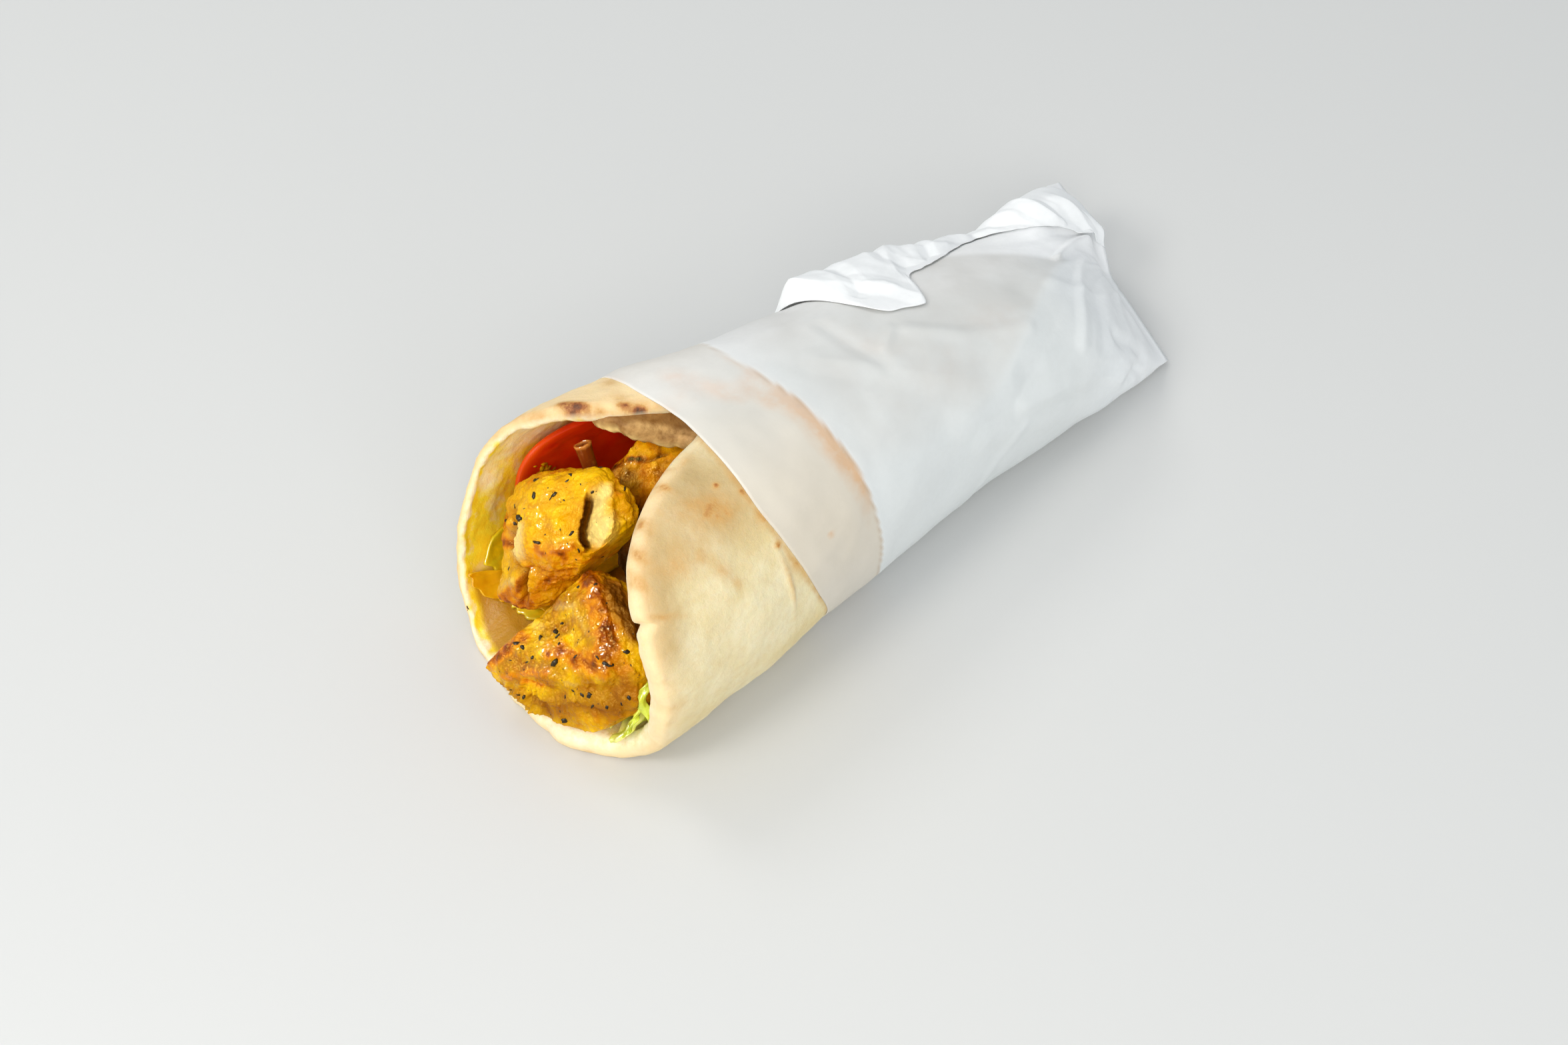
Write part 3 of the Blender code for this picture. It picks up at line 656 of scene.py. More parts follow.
on_skin = skin(x, angle)
toast = toast_at(x, angle)
covered = ramp(x / MM, at_paper_edge(angle), at_paper_edge(angle) + 3)
fine = uneven(on_skin, (1.7 * MM, 5, 0.10), (0.7 * MM, 14, 0.04))
swells = swells_at(on_skin) + (fine + np.clip(toast, 0, 1) * 0.22) * (1 - covered)
wrinkle = spots(x, angle, ((-45.0, 79, 7.0, 0.8, 84, 1.0), (-76.5, 58, 6.0, 0.5, 26, -0.9)))
leaf_lies = ramp(angle, 203, 211) * (1 - ramp(angle, 254, 262)) * ramp(from_rim, 1, 4)
crumb_bumps = uneven(on_skin, (5.5 * MM, 6, 0.4), (2.1 * MM, 7, 0.22), (0.9 * MM, 8, 0.12))
crumb_bumps = crumb_bumps * (1 - 0.75 * leaf_lies)
rim_bumps = uneven(on_skin, (3.2 * MM, 9, 0.35), (1.3 * MM, 10, 0.15)) * hump(from_rim, 0, 3)
outside = (swells + wrinkle * 0.45 + rim_bumps) * (1 - w) * MM
inside = (crumb_bumps + rim_bumps) * w * MM
thick = rim_thick + (bread_thickness(angle) - rim_thick) * ramp(from_rim, 0.5, 9)
tapered = 3 * MM * ramp(x / MM, -12, 15) * (1 - w)      # thinner where the paper hides it
depth = bread_depth(x, angle) + thick * w + tapered
places = layer(x, angle, depth - outside + inside)
places[:, 2] = np.maximum(places[:, 2], 0.0)
move_points(bread, places)
print("crumb stands between", crumb_bumps.min().round(2), "and", crumb_bumps.max().round(2), "mm")

# %% [markdown]
# Seven marks tell the material what is where. The mark inner says which side a point is on. On
# the outside there are toast, which also carries a painted shadow along the paper's edge, beige,
# peach and flour, and on the inside the yellow stain and a brown painted shade low on the far
# wall and at the bottom. The stain is strongest low on the far wall and at the bottom, where
# juices run.

# %% Mark the inside of the bread
inner = ramp(w, 0.30, 0.80)
low_wall = hump(half_turn(angle - 228), 0, 46)
thin = ramp(angle, 196, 230)
behind_rim = from_rim + wobble(on_skin, 4 * MM, 11) * (3 - 1.8 * thin)
stain = (0.30 + 1.35 * low_wall) * ramp(behind_rim, 2.0 - 1.6 * thin, 4.5 - 2.6 * thin)
stain = stain * (0.80 + wobble(on_skin, 6 * MM, 12) * 0.7)
border = hump(from_rim + wobble(on_skin, 3 * MM, 15) * 1.6, 1.3, 0.9) * 0.8
border = border * ramp(angle, 215, 240) * (0.6 + wobble(on_skin, 2 * MM, 16) * 1.4)
stain = np.clip(np.maximum(stain + border, 0) * inner, 0, 1.9)
# painted shade: brown low on the far wall and at the bottom of the inside
painted_wall_shade = (1 - ramp(angle, 236, 256)) * ramp(angle, 188, 204) * ramp(from_rim, 1.5, 3.5)
print("average stain inside:", float(stain[w > 0.9].mean().round(2)))

# %% Mark the outside of the bread
floury = ramp(angle, 196, 210) * (1 - ramp(angle, 290, 312))
flour = 0.85 * floury * (1 - ramp(from_rim, 1.2, 3.5))
flap_rim = ramp(angle, 5, 20) * (1 - ramp(angle, 90, 120))
peach = 0.75 * ramp(angle, 280, 306) * (1 - covered)
peach = peach + 0.95 * hump(angle, 160, 45) * hump(from_rim, 0, 8)
peach = peach + 0.60 * hump(from_rim, 0, 4.0) * flap_rim
# painted shadow: a thin dark line on the bread along the paper's edge, added to the toast
paper_edge_shadow = hump(x / MM - at_paper_edge(angle), -0.3, 0.9) * 0.5
edge_toast_and_shadow = paper_edge_shadow * ramp(angle, 0, 12) * (1 - ramp(angle, 100, 125))
front_flap = ramp(angle, 12, 20) * (1 - ramp(angle, 50, 66))
at_rim = hump(from_rim, 1.8, 2.4) * (0.25 + 0.20 * front_flap)
edge_toast_and_shadow = edge_toast_and_shadow + np.clip(wobble(on_skin, 4 * MM, 13) * 2.0 + 0.05, 0, 1) * at_rim
beige_rim = (1 - ramp(from_rim, 5, 13)) * (1 - ramp(angle, 66, 88))
beige = np.maximum(1 - ramp(angle, 30, 66), beige_rim) * ramp(angle, 5, 12)
beige = beige * ramp(from_rim, 0.6, 2.6) * (0.92 + wobble(on_skin, 9 * MM, 17) * 0.6)
print("beige share of the crust:", float((beige[w < 0.1] > 0.5).mean().round(2)))

# %% Finish of the bread
def bread_finish(name):
    """Cream crust with toast and a painted shadow outside; a porous, stained crumb with painted
    shade inside.
    """
    material, tree, shader = new_finish(name)
    cloudy, speckle = grain(tree, 95, 4.0, 0.6), grain(tree, 620, 3.0, 0.6)
    blotchy = spread(tree, cloudy, 0.3, 0.7, 0.7, 1.2)
    patchy = spread(tree, grain(tree, 330, 4.0, 0.65), 0.30, 0.72, 0.50, 1.30)
    toasted = times(tree, mark(tree, "toast"), patchy)
    crust = paint(tree, (0.82, 0.73, 0.48), (
        (cloudy, 0.35, 0.65, 1.0, (0.74, 0.61, 0.33)),
        (speckle, 0.45, 0.78, 0.30, (0.72, 0.52, 0.25)),
        (times(tree, mark(tree, "beige"), blotchy), 0.0, 1.0, 1.0, (0.54, 0.39, 0.18)),
        (mark(tree, "peach"), 0.0, 1.0, 1.0, (0.95, 0.70, 0.38)),
        (mark(tree, "flour"), 0.0, 1.0, 1.0, (0.94, 0.64, 0.30)),
        (toasted, 0.05, 0.75, 1.0, (0.62, 0.35, 0.11)),
        (toasted, 0.65, 1.20, 1.0, (0.36, 0.11, 0.022)),
        (toasted, 1.05, 1.60, 1.0, (0.055, 0.020, 0.010)),
    ))
    pores = grain(tree, 480, 5.0, 0.7)
    juicy = spread(tree, grain(tree, 230, 5.0, 0.65), 0.32, 0.66, 0.45, 1.35)
    stained = times(tree, mark(tree, "stain"), juicy)
    crumb = paint(tree, (0.93, 0.74, 0.42), ((pores, 0.35, 0.65, 1.0, (1.0, 0.90, 0.66)),))
    yellow = paint(tree, (1.0, 0.66, 0.012), ((pores, 0.3, 0.7, 1.0, (1.0, 0.82, 0.05)),))
    crumb = paint(tree, tint(tree, spread(tree, stained, 0.05, 0.75), crumb, yellow), (
        (stained, 0.85, 1.70, 0.40, (0.90, 0.50, 0.002)),
        # painted shade low on the far wall
        (mark(tree, "painted_wall_shade"), 0.1, 1.0, 0.92, (0.46, 0.20, 0.0005)),
    ))
    feed(tree, shader, {
        "Base Color": tint(tree, mark(tree, "inner"), crust, crumb),
        "Roughness": spread(tree, stained, 0.1, 0.9, 0.70, 0.50),
        "Subsurface Weight": 0.25,
        "Subsurface Radius": (1.0, 0.60, 0.25),
        "Subsurface Scale": 3.0 * MM,
        "Specular IOR Level": 0.25,
    })
    roughen(tree, shader, ((pores, 0.6 * MM, 0.50), (speckle, 0.25 * MM, 0.35)))
    return material


# the toast mark also carries the painted shadow along the paper's edge
bread_marks = {"toast": toast + edge_toast_and_shadow, "inner": inner, "beige": beige, "peach": peach,
               "flour": flour, "painted_wall_shade": painted_wall_shade, "stain": stain}
add_piece("bread", bread, bread_finish("toasted bread"), "pita", bread_marks)
print("the bread carries", len(bread_marks), "marks")

# %% [markdown]
# ## The inner ply
#
# Under the strip of crust at the top of the mouth lies a second ply: the other end of the same
# bread, which was rolled in first. It is in the shade, which is painted into its dark brown colour
# and lightens along the torn lower edge, and that edge has taken on the yellow of the filling. It
# is one more slab on the same roll, with a ragged edge.

# %% Lay the inner ply
PLY_EDGE = (   # angle, x of the torn edge in mm
    (314, -54.0), (326, -56.6), (338, -54.8), (346, -50.9), (354, -45.7), (366, -40.2),
    (382, -37.0), (397, -35.0),
)
PLY_FROM, PLY_TO = 314, 397
PLY_THICK, PLY_BACK, PLY_RIM = 3.6 * MM, -12.0 * MM, 1.3 * MM

ply = flat_slab(150, 70, 5)
u, v, w = points_of(ply).T
drawn_back, w = round_rim(w, PLY_RIM)
turned = np.degrees(drawn_back / (24 * MM))
angle = PLY_FROM + turned + (PLY_TO - PLY_FROM - 2 * turned) * u
edge_points = np.stack((angle * MM_PER_DEGREE, angle * 0, w * 1.5), -1)
front = smooth_through(PLY_EDGE, angle) * MM + drawn_back
front = front + uneven(edge_points, (4, 21, 1.3), (1.5, 22, 0.6)) * MM
x = front + (PLY_BACK - front) * v ** 1.3
behind_edge = (x - front) / MM
top = FAR_WALL_THICK - 0.9 * MM
top = top + (BREAD_THICK + GAP - top) * ramp(angle, 340, 351)
on_skin = skin(x, angle)
rough = uneven(on_skin, (5 * MM, 23, 0.5), (1.6 * MM, 24, 0.25))
rough = rough + hump(behind_edge, 0, 1.2) * wobble(on_skin, 1.1 * MM, 25) * 0.5
depth = bread_depth(x, angle) + top + PLY_THICK * w + rough * w * MM
move_points(ply, layer(x, angle, depth))
print("inner ply reaches from", (x.min() / MM).round(1), "to", (x.max() / MM).round(1), "mm")

# %% Mark and finish the inner ply
torn = hump(w, 0.85, 0.30) * (0.7 + wobble(on_skin, 1.6 * MM, 26) * 1.6)
torn = np.clip(hump(behind_edge, 0, 0.9) * torn, 0, 1)
# painted light: a paler band along the torn edge, where the painted shade lifts
pale = hump(behind_edge + wobble(edge_points, 5, 27) * 1.2, 0.6, 1.7)
pale = np.clip(pale * ramp(angle, 336, 346), 0, 1)


def ply_finish():
    """The ply's felt-like underside in painted shade, paler near its yellow torn edge."""
    material, tree, shader = new_finish("inner ply")
    felt = grain(tree, 420, 5.0, 0.7)
    patchy = times(tree, mark(tree, "pale"), spread(tree, felt, 0.3, 0.65, 0.35, 1.2))
    feed(tree, shader, {
        # the dark ground is painted shade
        "Base Color": paint(tree, (0.20, 0.078, 0.010), (
            (felt, 0.35, 0.68, 1.0, (0.35, 0.17, 0.040)),
            (grain(tree, 120, 3.0, 0.6), 0.45, 0.75, 0.4, (0.54, 0.31, 0.11)),
            (patchy, 0.1, 1.0, 0.85, (0.74, 0.45, 0.17)),
            (mark(tree, "edge"), 0.0, 1.0, 1.0, (0.94, 0.70, 0.28)),
        )),
        "Roughness": 0.75,
        "Specular IOR Level": 0.2,
    })
    roughen(tree, shader, ((felt, 0.5 * MM, 0.5),))
    return material


add_piece("inner_ply", ply, ply_finish(), None, {"edge": torn, "pale": pale})
print("torn share of the ply:", float((torn > 0.3).mean().round(3)))

# %% [markdown]
# ## The paper
#
# The paper is thin, smooth and slightly waxy. It goes round the wrap about twice. Where only one
# winding covers the bread, from the mouth's side up to a round edge that shows through, the
# bread's cream and its toasted spots are seen faintly. Where there are two, the paper is white
# with a touch of blue, and greyer where warm food touches it from inside.
#
# See-through paper could be made with a transparent shader. Here it lies on the bread without a
# gap, so what shows through is mixed into its colour from the same toast spots instead: it looks
# the same from every side and costs nothing in noise.
#
# Creases are what makes paper look like paper. Each one is a tent: two flat slopes that meet in
# a sharp line. A few are placed where the picture shows them, and many small ones are scattered
# towards the tail, where the paper was squeezed and folded under.

# %% Creases
PAPER_CREASES = (           # half width and height in mm, then points as x in mm and angle
    (5.0, 0.55, ((-9, 3), (1, 21), (9, 36), (21, 49), (30, 56))),
    (3.0, 0.55, ((14, 11), (26, 27), (42, 38))),
    (3.0, -0.45, ((-1, -16), (0, 4), (2, 22))),
    (6.0, 0.60, ((70, 5), (49, 31), (41, 41), (27, 57), (14, 60))),
    (3.0, 0.70, ((84, -4), (70, 30), (56, 60))),
    (2.2, 1.60, ((90, -36), (80, -18), (71, -3))),
    (3.0, -0.90, ((72, 64), (84, 80), (72, 92))),
    (4.0, 0.70, ((72, 92), (51, 78), (33, 74))),
    (2.0, 0.50, ((5.5, 14), (11, 6))),
    (4.0, -0.50, ((90, 20), (76, 34), (64, 66))),
    (4.0, 0.60, ((92, 50), (80, 44), (60, 20))),
    (5.0, 0.45, ((20, 80), (45, 95), (70, 120))),
    (5.0, -0.60, ((88, 140), (60, 150), (40, 170))),
    (4.0, 0.80, ((92, 230), (70, 250), (45, 262))),
    (5.0, 0.60, ((90, 275), (66, 268), (30, 275))),
)


def tents(x, s, rows):
    """Sharp folds along lines. Places are x and s in mm, where s goes round the roll."""
    total = np.zeros_like(x)
    for width, height, line in rows:
        off = line_distance(x, s, [(a, b * MM_PER_DEGREE) for a, b in line])
        total = total + height * np.clip(1 - off / width, 0, 1)
    return total


def scattered_folds(count, x_range, angle_range, height, seed):
    """Rows for many short folds at seeded random places."""
    draw = random.Random(seed)
    rows = []
    for _ in range(count):
        place, turned = draw.uniform(*x_range), draw.uniform(*angle_range)
        turn, length = draw.uniform(-1.2, 1.2), draw.uniform(6, 20)
        run, side = length * math.cos(turn), length * math.sin(turn) / MM_PER_DEGREE
        bend = draw.uniform(-4, 4) / MM_PER_DEGREE
        line = ((place - run, turned - side), (place, turned + bend), (place + run, turned + side))
        rows.append((draw.uniform(2.5, 7), draw.uniform(-height, height), line))
    return rows


print("placed creases:", len(PAPER_CREASES))

# %% Wind the paper round
ARC_EDGE = (   # where the second winding begins: angle, x in mm
    (0, -22.6), (16, -21.4), (34, -20.7), (47, -19.5), (60, -18.7), (74, -17.6), (88, -16.7),
    (112, -15), (140, -10), (185, -6), (240, -12), (300, -20), (324, -23.5), (335, -23.8),
    (360, -22.6),
)
EDGE_DEPTH, RISE_BEHIND = 0.95 * MM, 0.35 * MM      # the paper clings to the bread at its edge
SECOND_STEP = 0.18          # how much the second winding stands up, in mm


def tail_lift(x, angle):
    """How far the tail's far corner stands up, in mm."""
    return 6.5 * ramp(x / MM, 58, 92) * hump(half_turn(angle), -68, 42)


bag = open_tube(264, 170)
tube_points = points_of(bag)
angle = np.degrees(np.arctan2(tube_points[:, 1], tube_points[:, 0])) % 360
v = tube_points[:, 2] + 0.5
front = at_paper_edge(angle) * MM
front = front + wobble(tube_points * (1, 1, 0), 0.35, 31) * 0.4 * MM
x = front + (PAPER_BACK - front) * v
signed = half_turn(angle)
s = signed * MM_PER_DEGREE
arc = smooth_through(ARC_EDGE, angle)
second = ramp(x / MM, arc - 0.25, arc + 0.25)
calm = ramp(x / MM, -20, 15)
tail = ramp(x / MM, 45, 90)
folds = tents(x / MM, s, PAPER_CREASES)
folds = folds + tents(x / MM, s, scattered_folds(30, (10, 95), (-180, 180), 0.35, 5)) * calm
folds = folds + tents(x / MM, s, scattered_folds(40, (60, 97), (-180, 180), 0.7, 6)) * tail
on_skin = skin(x, angle)
waves = uneven(on_skin, (22 * MM, 32, 0.7), (7 * MM, 33, 0.10))
height = folds + swells_at(on_skin) * (1 - 0.6 * calm) + waves * calm + second * SECOND_STEP
shut = ramp(x / MM, 88, 97)
settle = ramp((x - front) / MM, 0, 6)
places = layer(x, angle, EDGE_DEPTH - RISE_BEHIND * settle - height * (1 - 0.6 * shut) * MM)
places[:, 2] = np.maximum(places[:, 2], 0.0)
centre, _, _, middle, _ = section_at(x)
middle = middle + ramp(x, TAIL_START, PAPER_BACK) * TAIL_TILT * (places[:, 1] - centre)
places[:, 2] += (np.maximum(middle, 1 * MM) - places[:, 2]) * 0.8 * shut
places[:, 2] += tail_lift(x, angle) * MM
move_points(bag, places)
print("paper folds between", folds.min().round(2), "and", folds.max().round(2), "mm")

# %% [markdown]
# The paper carries five marks: the toast below it; the veil, which says how much of the bread
# shows through and also paints light and shade, whiter on the top and darker on the near side;
# where warm food touches it; where it is bright, which is painted light on the far top, towards
# the tail and beside the loose end; and the line of the second winding's edge.

# %% Mark the paper
# the veil also paints light and shade: whiter on the top, darker on the near side
veil_and_painted_light = (0.74 + 0.16 * hump(signed, 75, 40) - 0.34 * hump(signed, -20, 32)) * (1 - second)
veil_and_painted_light = veil_and_painted_light + 0.10 * second * (1 - ramp(x / MM, 50, 70))
upper_side = ramp(signed, -40, -20) * (1 - ramp(signed, 55, 80))
toast_below = toast_at(x, angle) + 0.45 * hump(x / MM, arc - 0.8, 1.4) * upper_side
arc_line = hump(x / MM, arc - 0.35, 0.35) * 0.45 * ramp(signed, -60, -20)
touching = 1 - ramp(x / MM + 0.85 * np.abs(signed), 70, 78)
touching = touching * ramp(x / MM, -30, -5) * (1 - 0.9 * ramp(signed, 46, 66)) * 0.8
# painted light: lighter on the far top, towards the tail and beside the loose end
bright = 0.22 + 0.55 * ramp(x / MM, 42, 85) + 0.75 * hump(signed, -48, 34)
bright = bright + 0.5 * hump(signed, -36, 26) * hump(x / MM, 54, 20)
bright = np.clip(bright + 0.6 * hump(signed, -12, 22) * hump(x / MM, 36, 16), 0, 1)
bag_marks = {"toast": toast_below, "veil_and_painted_light": veil_and_painted_light, "touching": touching, "bright": bright,
             "arc": arc_line}
print("bread shows through at", float((veil_and_painted_light > 0.3).mean().round(2)), "of the paper's points")

# %% Finish of the paper
PAPER_SHEET = 0.16 * MM


def paper_finish():
    """White waxy paper with painted light, and the bread below it where the veil is thin."""
    material, tree, shader = new_finish("thin paper")
    cloudy, broad = grain(tree, 700, 3.0, 0.6), grain(tree, 60, 3.0, 0.5)
    patchy = spread(tree, grain(tree, 240, 4.0, 0.6), 0.3, 0.7, 0.45, 1.25)
    touched = times(tree, mark(tree, "touching"), spread(tree, broad, 0.3, 0.6, 0.4, 0.9))
    toasted = times(tree, mark(tree, "toast"), patchy)
    white = paint(tree, (0.68, 0.73, 0.74), (
        # painted light
        (mark(tree, "bright"), 0.0, 1.0, 1.0, (0.94, 0.95, 0.96)),
        (touched, 0.0, 1.0, 1.0, (0.585, 0.58, 0.56)),
        (cloudy, 0.35, 0.7, 0.10, (0.60, 0.62, 0.62)),
    ))
    below = paint(tree, (0.67, 0.58, 0.44), (
        (broad, 0.0, 1.0, 1.0, (0.66, 0.60, 0.51)),
        (toasted, 0.08, 0.75, 1.0, (0.66, 0.39, 0.19)),
        (toasted, 0.95, 1.9, 1.0, (0.46, 0.27, 0.16)),
    ))
    seen = tint(tree, mark(tree, "veil_and_painted_light"), white, below)
    feed(tree, shader, {
        "Base Color": paint(tree, seen, ((mark(tree, "arc"), 0.0, 1.0, 1.0, (0.42, 0.30, 0.20)),)),
        "Roughness": spread(tree, cloudy, 0.3, 0.7, 0.50, 0.62),
        "Specular IOR Level": 0.35,
        "Subsurface Weight": 0.15,
        "Subsurface Radius": (1.0, 0.95, 0.9),
        "Subsurface Scale": 1.0 * MM,
    })
    roughen(tree, shader, ((cloudy, 0.12 * MM, 0.2),))
    return material


def thin_wall(piece, thickness):
    """Give a sheet its thickness, inwards."""
    wall = piece.modifiers.new("sheet", "SOLIDIFY")
    wall.thickness = thickness
    wall.offset = -1.0


PAPER = paper_finish()
thin_wall(add_piece("paper_bag", bag, PAPER, "paper", bag_marks), PAPER_SHEET)
print("the paper is", round(PAPER_SHEET / MM, 2), "mm thick")

# %% [markdown]
# ## The paper's loose end
#
# Along the far shoulder the end of the outer winding stands off the roll. It was crumpled when
# the wrap was twisted shut, and a small corner of it curls up in the middle. It is a sheet of its
# own that starts on the far side, where it lies against the paper, rises over the shoulder and
# comes down again on the top.

# %% Lay the loose end
LOOSE_EDGE = (   # x in mm, angle of the free edge
    (1.5, 288), (3.2, 304), (5.5, 322), (9, 340), (13.5, 355), (18, 358), (23.5, 361), (26, 350),
    (28, 338), (35, 331), (43.5, 325), (50, 318), (60, 311), (70, 318), (78, 322), (92, 326),
)
LOOSE_FOLDS = (
    (4.0, 1.0, ((8, -38), (20, -22), (25, 0))), (3.0, -0.9, ((30, -60), (28, -40), (36, -30))),
    (4.0, 1.1, ((2, -50), (24, -52), (48, -44))), (4.0, 1.0, ((44, -68), (58, -52), (66, -44))),
    (3.0, -1.4, ((62, -72), (66, -56), (70, -40))), (3.5, 1.7, ((70, -82), (74, -60), (80, -40))),
    (3.0, -1.0, ((12, -60), (16, -44), (14, -24))), (3.0, 1.0, ((84, -80), (84, -60), (90, -42))),
    (2.5, -0.8, ((38, -60), (42, -46), (40, -36))),
)
LOOSE_ROOT = 284.0          # angle along which it is held
LOOSE_FROM, LOOSE_LONG, LOOSE_HIGH = 1.5, 93.5, 4.6     # in mm
LOOSE_MIDDLE = Vector((40, 1, 15)) * MM

loose = flat_sheet(84, 220)
u, v, _ = points_of(loose).T
x = (LOOSE_FROM + LOOSE_LONG * v) * MM
rim_points = np.stack((x / MM, x * 0, x * 0), -1)
edge = smooth_through(LOOSE_EDGE, x / MM)
edge = edge + wobble(rim_points, 3, 41) * 2.0 * ramp(x / MM, 26, 40)
angle = LOOSE_ROOT + (edge - LOOSE_ROOT) * u
s = half_turn(angle) * MM_PER_DEGREE
to_edge = (edge - angle) * MM_PER_DEGREE
rise = LOOSE_HIGH * hump(angle, 312, 15) * (1 - 0.6 * ramp(x / MM, 62, 90))
rise = rise * ramp(to_edge, -0.5, 6 + 7 * ramp(x / MM, 26, 36)) * ramp(x / MM, 1.5, 4.2)
curl = hump(x / MM, 23, 4) * ramp(u, 0.86, 1.0) * 0.4
gap = hump(x / MM, 11, 2.5) * ramp(u, 0.80, 1.0) * 0.15
folds = tents(x / MM, s, LOOSE_FOLDS)
folds = folds + tents(x / MM, s, scattered_folds(60, (-3, 95), (-80, 0), 0.45, 9))
lift = rise + curl + gap + folds * ramp(u, 0.1, 0.5) * ramp(to_edge, -0.5, 2.5)
on_skin = skin(x, angle)
waves = wobble(on_skin, 22 * MM, 32) * 0.7 + tents(x / MM, s, PAPER_CREASES)
waves = waves * ramp(x / MM, -20, 15)
lift = lift + waves + wobble(on_skin, 9 * MM, 42) * 0.4 * ramp(u, 0.1, 0.6)
lift = np.maximum(lift, 0.15 + waves) * ramp(u, -0.1, 0.08)
places = layer(x, angle, -lift * MM)
places[:, 2] += tail_lift(x, angle) * MM
move_points(loose, places)
loose_marks = {name: x * 0 for name in bag_marks}
# painted light: the loose end is painted lighter all over
loose_marks["bright"] = x * 0 + 0.85
loose_end = add_piece("paper_loose_end", loose, PAPER, None, loose_marks, LOOSE_MIDDLE)
thin_wall(loose_end, PAPER_SHEET)
print("loose end stands up to", float(lift.max().round(1)), "mm off the roll")

# %% [markdown]
# ## The frame of the mouth
#
# The pieces at the mouth are set out as somebody sees them who looks down into it: to the right,
# up, and out towards the eye. The origin of that frame is the middle of the mouth.

# %% The mouth's own directions
MOUTH_MIDDLE = Vector((-72.0, 4.9, 23.2)) * MM
MOUTH_OUT = Vector((-0.392, -0.561, 0.729)).normalized()
MOUTH_RIGHT = -MOUTH_OUT.cross(Vector((0.456, 0.570, 0.683)))
MOUTH_RIGHT.normalize()
MOUTH_UP = MOUTH_OUT.cross(MOUTH_RIGHT)
MOUTH_AXES = np.array((MOUTH_RIGHT, MOUTH_UP, MOUTH_OUT))


def from_mouth(right, up, out):
    """A point given in mm in the mouth's frame."""
    return MOUTH_MIDDLE + (MOUTH_RIGHT * right + MOUTH_UP * up + MOUTH_OUT * out) * MM


def many_from_mouth(points):
    """Many points given in mm in the mouth's frame."""
    return np.array(MOUTH_MIDDLE) + points @ MOUTH_AXES * MM


def to_mouth(points):
    """Points in the mouth's frame, in mm."""
    return (points - np.array(MOUTH_MIDDLE)) @ MOUTH_AXES.T / MM


print("one step to the right in the mouth is", [round(c, 2) for c in MOUTH_RIGHT])

# %% [markdown]
# Fillings press against the bread. These two helpers do what the bread does in the real roll:
# they push points that would reach into the wall back inside it, softly, and they flatten a
# piece where it leans on its neighbour.

# %% Press pieces into the roll
LEAF_THICK, PETAL_THICK = 0.7 * MM, 1.1 * MM
WALL_SOFTNESS = 0.06        # share of the way out over which a piece gives way


def liner_depth(angle):
    """Depth of what lies on the bread's inner wall, at an angle."""
    seam = ramp(angle, 344, 352)
    wall = bread_thickness(angle) * (1 - seam) + BREAD_THICK * seam + PAPER_THICK + 2.2 * GAP
    far = ramp(angle, 196, 206) * (1 - ramp(angle, 258, 268))
    near = ramp(angle, 108, 114) * (1 - ramp(angle, 150, 156))
    return wall + far * (LEAF_THICK + PETAL_THICK + 2 * GAP) + near * (LEAF_THICK + GAP)


def soft_limit(value, softness):
    """Let a value rise freely to nearly 1 and then only creep towards 1."""
    over = np.maximum(value - 1 + softness, 0.0)
    return np.where(over > 0, 1 - softness * np.exp(-over / softness), value)


def press_inside(points):
    """Push points that reach into the bread, or into what lines it, back to its inner wall."""
    x, y, z = points.T
    centre, width, half_height, middle, _ = section_at(x)
    angle = np.degrees(np.arctan2(centre - y, z - middle)) % 360
    depth = liner_depth(angle)
    away = np.hypot(y - centre, z - middle)
    sine, cosine = (centre - y) / away, (z - middle) / away
    reach = section_reach(x, sine, cosine, width - depth, half_height - depth)
    inside = soft_limit(away / reach, WALL_SOFTNESS) * reach / away
    y, z = centre + (y - centre) * inside, middle + (z - middle) * inside
    z = middle - (middle - depth) * soft_limit((middle - z) / (middle - depth), WALL_SOFTNESS)
    return np.stack((x, y, z), -1)


def press_against(points, place, normal, softness=1.2 * MM):
    """Flatten points that reach past a plane, with a rounded edge."""
    normal = np.array(normal)
    past = (points - np.array(place)) @ normal
    over = np.maximum(past + softness, 0.0)
    kept = np.where(over > 0, -softness * np.exp(-over / softness), past)
    return points + (kept - past)[:, None] * normal


wall_below = liner_depth(np.array([180.0])) / MM
print("the wall at the bottom is", float(wall_below[0].round(1)), "mm deep")

# %% [markdown]
# ## The chicken at the mouth
#
# Two chunks of grilled chicken fill the mouth. They were marinated in turmeric, lemon and herbs,
# so they are a strong yellow, and they have caught on the grill: red-brown along the ridges,
# nearly black where it was hottest. Juice makes them shine. The upper one has the slot that the
# skewer left, with pale meat inside.
#
# Each chunk starts as a sphere. Its outline is drawn as the eye sees it in the mouth, and then
# relief of several sizes goes on top: facets, lumps, fibres and a fine roughness. A subdivided
# box with a displacement modifier would give a lump as well, but not this outline.

# %% Shapes of the two chunks
UPPER_OUTLINE = (   # angle in degrees (0 right, 90 up) and radius in mm
    (0, 13.7), (30, 15.5), (62, 16.1), (90, 14.7), (118, 14.6), (150, 13.8), (180, 13.7),
    (205, 14.8), (222, 18.5), (238, 17.2), (255, 13.8), (275, 11.2), (305, 9.8), (335, 10.8),
)
LOWER_OUTLINE = (
    (0, 17.4), (22, 15.4), (46, 16.2), (72, 17.8), (92, 14.6), (117, 11.2), (142, 11.8),
    (162, 15.4), (185, 19.0), (203, 17.4), (225, 15.8), (262, 15.6), (292, 18.0), (318, 18.6),
    (342, 18.2),
)
SEAM_PLACE = from_mouth(0, -5.2, 7)
SEAM = (MOUTH_RIGHT * -0.60 + MOUTH_UP * 0.75 - MOUTH_OUT * 0.28).normalized()
